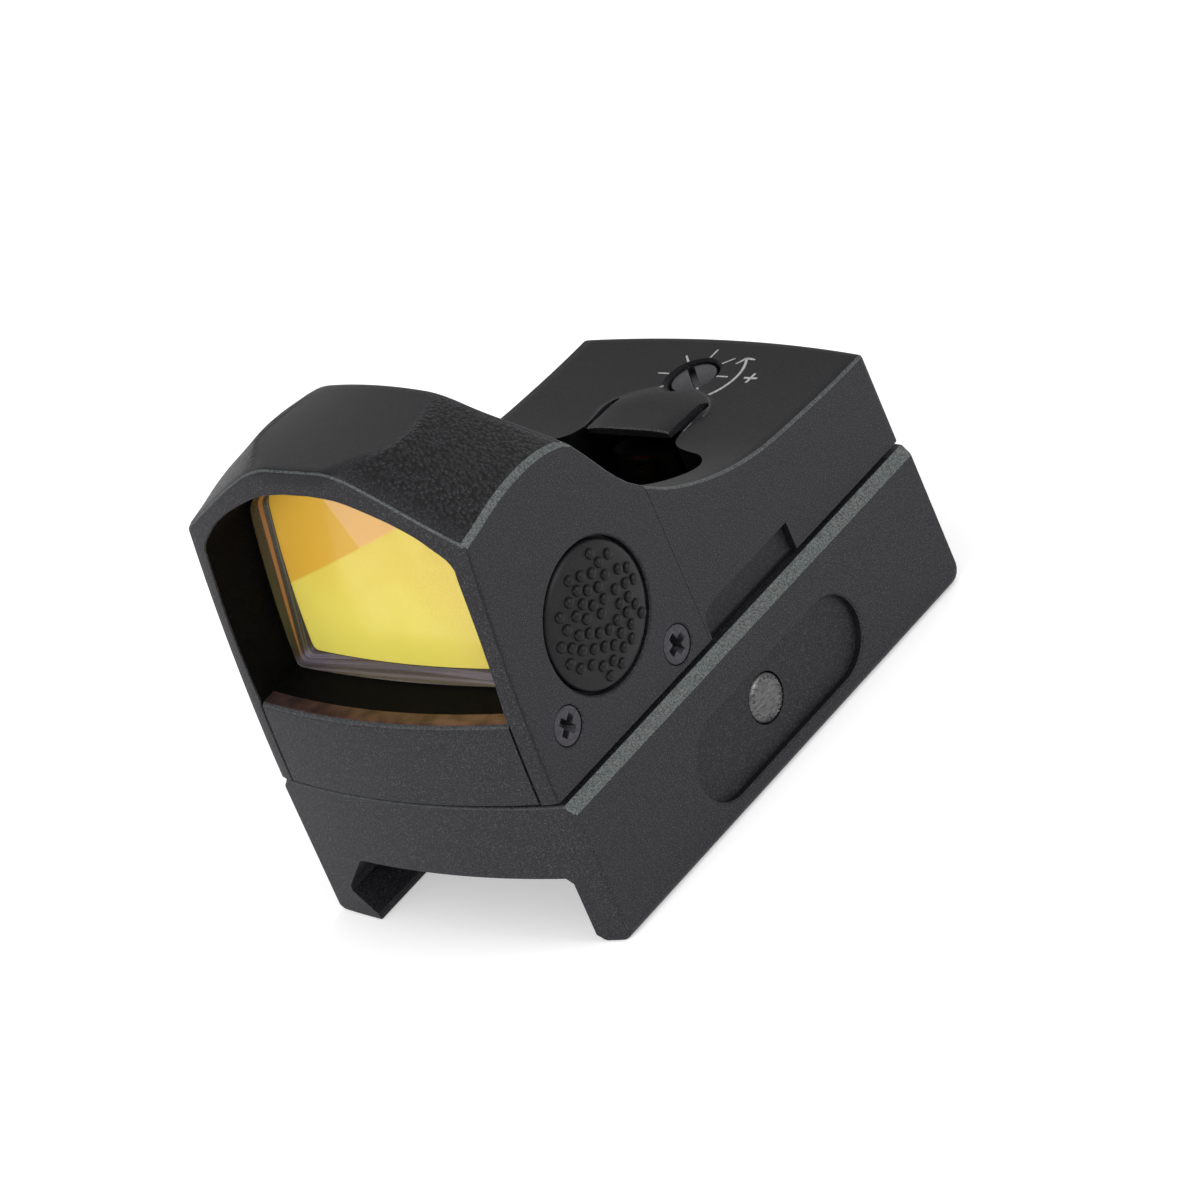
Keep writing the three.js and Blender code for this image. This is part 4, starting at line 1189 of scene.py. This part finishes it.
carve(seed_screw, [cross_arm("x"), cross_arm("y")])
ease_edges(seed_screw, 0.03, 40, 2)
shade(seed_screw)
screw_rows = [(side, y, z) for side in (-1, 1) for y, z in SIDE_SCREWS]
screw_mesh = bpy.data.meshes.new("side_screws")
screw_mesh.from_pydata([tuple(Vector((side * HALF, y, z)) * MM + DATUM) for side, y, z in screw_rows], [],
                       [])
side_screws = bpy.data.objects.new("side_screws", screw_mesh)
bpy.context.scene.collection.objects.link(side_screws)
aim = screw_mesh.attributes.new("aim", "FLOAT_VECTOR", "POINT")
aim.data.foreach_set("vector", [c for side, y, z in screw_rows for c in (side, 0.0, 0.0)])
twist = screw_mesh.attributes.new("twist", "FLOAT", "POINT")
twist.data.foreach_set("value", [0.4, 1.1, 0.62, 0.28])

screw_tree, start, end, add = geometry_tree("side_screw_row", [("Screw", "Object"), ("Finish", "Material")])
aim_in = add("InputNamedAttribute", {"data_type": "FLOAT_VECTOR"}, {"Name": "aim"})
twist_in = add("InputNamedAttribute", {"data_type": "FLOAT"}, {"Name": "twist"})
toward = add("FunctionNodeAlignRotationToVector", {"axis": "Z"}, {"Vector": aim_in.outputs["Attribute"]})
spin = add("FunctionNodeAxisAngleToRotation", {},
           {"Axis": (0.0, 0.0, 1.0), "Angle": twist_in.outputs["Attribute"]})
both = add("FunctionNodeRotateRotation", {"rotation_space": "LOCAL"},
           {"Rotation": toward.outputs["Rotation"], "Rotate By": spin.outputs["Rotation"]})
pattern = add("ObjectInfo", {"transform_space": "ORIGINAL"}, {"Object": start.outputs["Screw"]})
as_points = add("MeshToPoints", {}, {"Mesh": start.outputs["Geometry"]})
stamp(screw_tree, start, end, add, as_points.outputs["Points"], pattern.outputs["Geometry"],
      both.outputs["Rotation"])
seed_screw.data.transform(Matrix.Translation(-DATUM))
grow(side_screws, screw_tree, {"Screw": seed_screw, "Finish": FINISHES["black_oxide_screw"].material})
bpy.data.objects.remove(seed_screw)
finish_piece(side_screws, "housing", [name for name in slot_of if name.startswith("hood_screw")])

# ---- Elevation dial ---------------------------------------------------------------------------
# A slotted screw sunk in the deck, with eight click marks less the one under the canopy, a curved
# arrow and a plus sign for the way that raises the dot. The marks are filled with white paint.
dial_screw = new_piece("dial_screw", *lathe([(0, 4.8), (0.94, 4.8), (0.94, 7.0), (1.93, 7.0), (1.95, 7.04),
                                             (1.95, 7.72),
                                             (1.84, 7.85), (1.6, 7.9), (0, 7.95)], (0, 0, 1), (*DIAL, 0),
                                             64),
                       FINISHES["black_oxide_screw"])
slot_turn = math.radians(135)
slot_ring = []
for a, b in ((-3, -0.28), (3, -0.28), (3, 0.28), (-3, 0.28)):
    slot_ring.append((DIAL[0] + a * math.cos(slot_turn) - b * math.sin(slot_turn),
                      DIAL[1] + a * math.sin(slot_turn) + b * math.cos(slot_turn)))
carve(dial_screw, [prism(slot_ring, 7.35, 9, "z")])
ease_edges(dial_screw, 0.06, 40, 2)
finish_piece(dial_screw, "elevation_screw", ["elevation_screw"])

white_paint = mottled("white_fill", (0.36, 0.36, 0.35), 0.6, 0.0, 5.0, 0.35, 0.01)
tick_tree, start, end, add = geometry_tree("dial_ticks",
                                           [("Marks", "Int"), ("Ring", "Float"), ("Length", "Float"),
                                                          ("Width", "Float"), ("Skip", "Int"),
                                                          ("Finish", "Material")])
ring = add("MeshCircle", {}, {"Vertices": start.outputs["Marks"], "Radius": start.outputs["Ring"]})
number = add("InputIndex")
unwanted = add("FunctionNodeCompare", {"data_type": "INT", "operation": "EQUAL"},
               {2: number.outputs["Index"], 3: start.outputs["Skip"]})
kept = add("DeleteGeometry", {}, {"Geometry": ring.outputs["Mesh"],
                                  "Selection": unwanted.outputs["Result"]})
size = add("ShaderNodeCombineXYZ", {}, {0: start.outputs["Length"], 1: start.outputs["Width"],
                                        2: 0.05 * MM})
bar = add("MeshCube", {}, {"Size": size.outputs["Vector"], "Vertices X": 6})
where = add("InputPosition")
outward = add("FunctionNodeAlignRotationToVector", {"axis": "X"}, {"Vector": where.outputs["Position"]})
marks_at = add("MeshToPoints", {}, {"Mesh": kept.outputs["Geometry"]})
stamp(tick_tree, start, end, add, marks_at.outputs["Points"], bar.outputs["Mesh"],
      outward.outputs["Rotation"])
ticks = new_piece("dial_ticks", *block(0, 1, 0, 1, 0, 1), white_paint)
grow(ticks, tick_tree, {"Marks": 8, "Ring": 2.95 * MM, "Length": 1.1 * MM, "Width": 0.17 * MM, "Skip": 6,
                        "Finish": white_paint.material})


def lay_on_deck(piece, centre):
    """Drops a flat mark drawn around the origin onto the deck's surface at the centre."""
    for vertex in piece.data.vertices:
        x = vertex.co.x / MM + centre[0]
        y = vertex.co.y / MM + centre[1]
        lift = vertex.co.z / MM
        vertex.co = Vector((x, y, deck(y) + canopy_rise(x, y) + 0.004 + lift * 0.4)) * MM + DATUM


lay_on_deck(ticks, DIAL)
finish_piece(ticks, "housing", [], 30)


def ribbon(path, widths):
    """A flat stroke along the path, as a closed solid 0.05 mm thick."""
    path = np.array(path, float)
    heading = np.gradient(path, axis=0)
    heading /= np.linalg.norm(heading, axis=1)[:, None]
    across_way = np.stack([-heading[:, 1], heading[:, 0]], axis=1)
    rings = []
    for spot, way, width in zip(path, across_way, widths):
        left, right_side = spot + way * width / 2, spot - way * width / 2
        rings.append([(*left, -0.025), (*right_side, -0.025), (*right_side, 0.025), (*left, 0.025)])
    return loft(rings)


arc = [(4.35 * math.cos(math.radians(a)), 4.35 * math.sin(math.radians(a))) for a in np.linspace(-43, 36,
                                                                                                 26)]
strokes = {"arrow_sweep": (arc, np.linspace(0.30, 0.22, 26)),
           "arrow_barb_in": ([arc[-1], (arc[-1][0] - 0.25, arc[-1][1] - 0.45),
                              (arc[-1][0] - 0.5, arc[-1][1] - 0.8)],
                             [0.26, 0.24, 0.16]),
           "arrow_barb_out": ([arc[-1], (arc[-1][0] + 0.5, arc[-1][1] - 0.05),
                               (arc[-1][0] + 0.95, arc[-1][1] - 0.12)],
                              [0.26, 0.24, 0.16]),
           "plus_bar": ([(5.15, 0.0), (5.8, 0.0), (6.45, 0.0)], [0.24] * 3),
           "plus_post": ([(5.8, -0.65), (5.8, 0.0), (5.8, 0.65)], [0.24] * 3)}
for name, (path, widths) in strokes.items():
    points, faces = ribbon(path, widths)
    stroke = new_piece("dial_" + name, points - np.array(DATUM) / MM, faces, white_paint)
    lay_on_deck(stroke, DIAL)
    finish_piece(stroke, "housing", [], 30)

# ---- Clamp bolt -------------------------------------------------------------------------------
# An M4 steel bolt right through the base: hexagon socket head on one side, serrated stud end on
# the other, in the long pocket.
bolt_profile = [(0, -14.6), (3.1, -14.6), (3.3, -14.4), (3.3, -12.6), (3.2, -12.5), (1.95, -12.5),
                (1.95, 13.95),
                (1.75, 14.15), (1.55, 14.2), (0, 14.22)]
bolt = new_piece("bolt_and_stud", *lathe(bolt_profile, (1, 0, 0), (0, BOLT_Y, BOLT_Z), 72),
                 FINISHES["steel"])
hexagon = [(BOLT_Y + 1.73 * math.cos(a),
            BOLT_Z + 1.73 * math.sin(a)) for a in np.radians(np.arange(0, 360, 60))]
carve(bolt, [prism(hexagon, -15.5, -13.3, "x")])
ease_edges(bolt, 0.06, 40, 2)
tooth_tree, start, end, add = geometry_tree("stud_teeth",
                                            [("Teeth", "Int"), ("Ring", "Float"), ("Size", "Float"),
                                                           ("Finish", "Material")])
ring = add("MeshCircle", {}, {"Vertices": start.outputs["Teeth"], "Radius": start.outputs["Ring"]})
where = add("InputPosition")
outward = add("FunctionNodeAlignRotationToVector", {"axis": "X"}, {"Vector": where.outputs["Position"]})
tooth = add("MeshCone", {}, {"Vertices": 4, "Radius Top": 0.02 * MM, "Radius Bottom": start.outputs["Size"],
                             "Depth": start.outputs["Size"]})
teeth_at = add("MeshToPoints", {}, {"Mesh": ring.outputs["Mesh"]})
stamp(tooth_tree, start, end, add, teeth_at.outputs["Points"], tooth.outputs["Mesh"],
      outward.outputs["Rotation"])
teeth = new_piece("stud_teeth", *block(0, 1, 0, 1, 0, 1), FINISHES["steel"])
grow(teeth, tooth_tree, {"Teeth": 22, "Ring": 1.58 * MM, "Size": 0.22 * MM,
                         "Finish": FINISHES["steel"].material})
teeth.data.transform(Matrix.Translation(DATUM + Vector((14.13, BOLT_Y, BOLT_Z)) * MM)
                     @ Matrix.Rotation(math.pi / 2, 4, "Y"))
finish_piece(teeth, "clamp_bolt", [], 20)
finish_piece(bolt, "clamp_bolt", ["clamp_bolt"])

# ---- Floor ------------------------------------------------------------------------------------
# A wide matt sheet, far larger than the sight, that the base stands on.
floor_finish = Finish("studio_paper", (0.88, 0.88, 0.88), 0.9, 0.0, Emission_Strength=0.26,
                      Emission_Color=(1.0, 1.0, 1.0, 1.0))
underside = floor_finish.node("ShaderNodeNewGeometry", {}, {}, output=6)
floor_finish.set("Alpha", 1 - underside)
floor_mesh = bpy.data.meshes.new("studio_floor")
reach = 6.0
floor_mesh.from_pydata([(-reach, -reach, -2e-5), (reach, -reach, -2e-5), (reach, reach, -2e-5),
                        (-reach, reach, -2e-5)], [],
                       [(0, 1, 2, 3)])
floor_mesh.materials.append(floor_finish.material)
floor = bpy.data.objects.new("studio_floor", floor_mesh)
bpy.context.scene.collection.objects.link(floor)
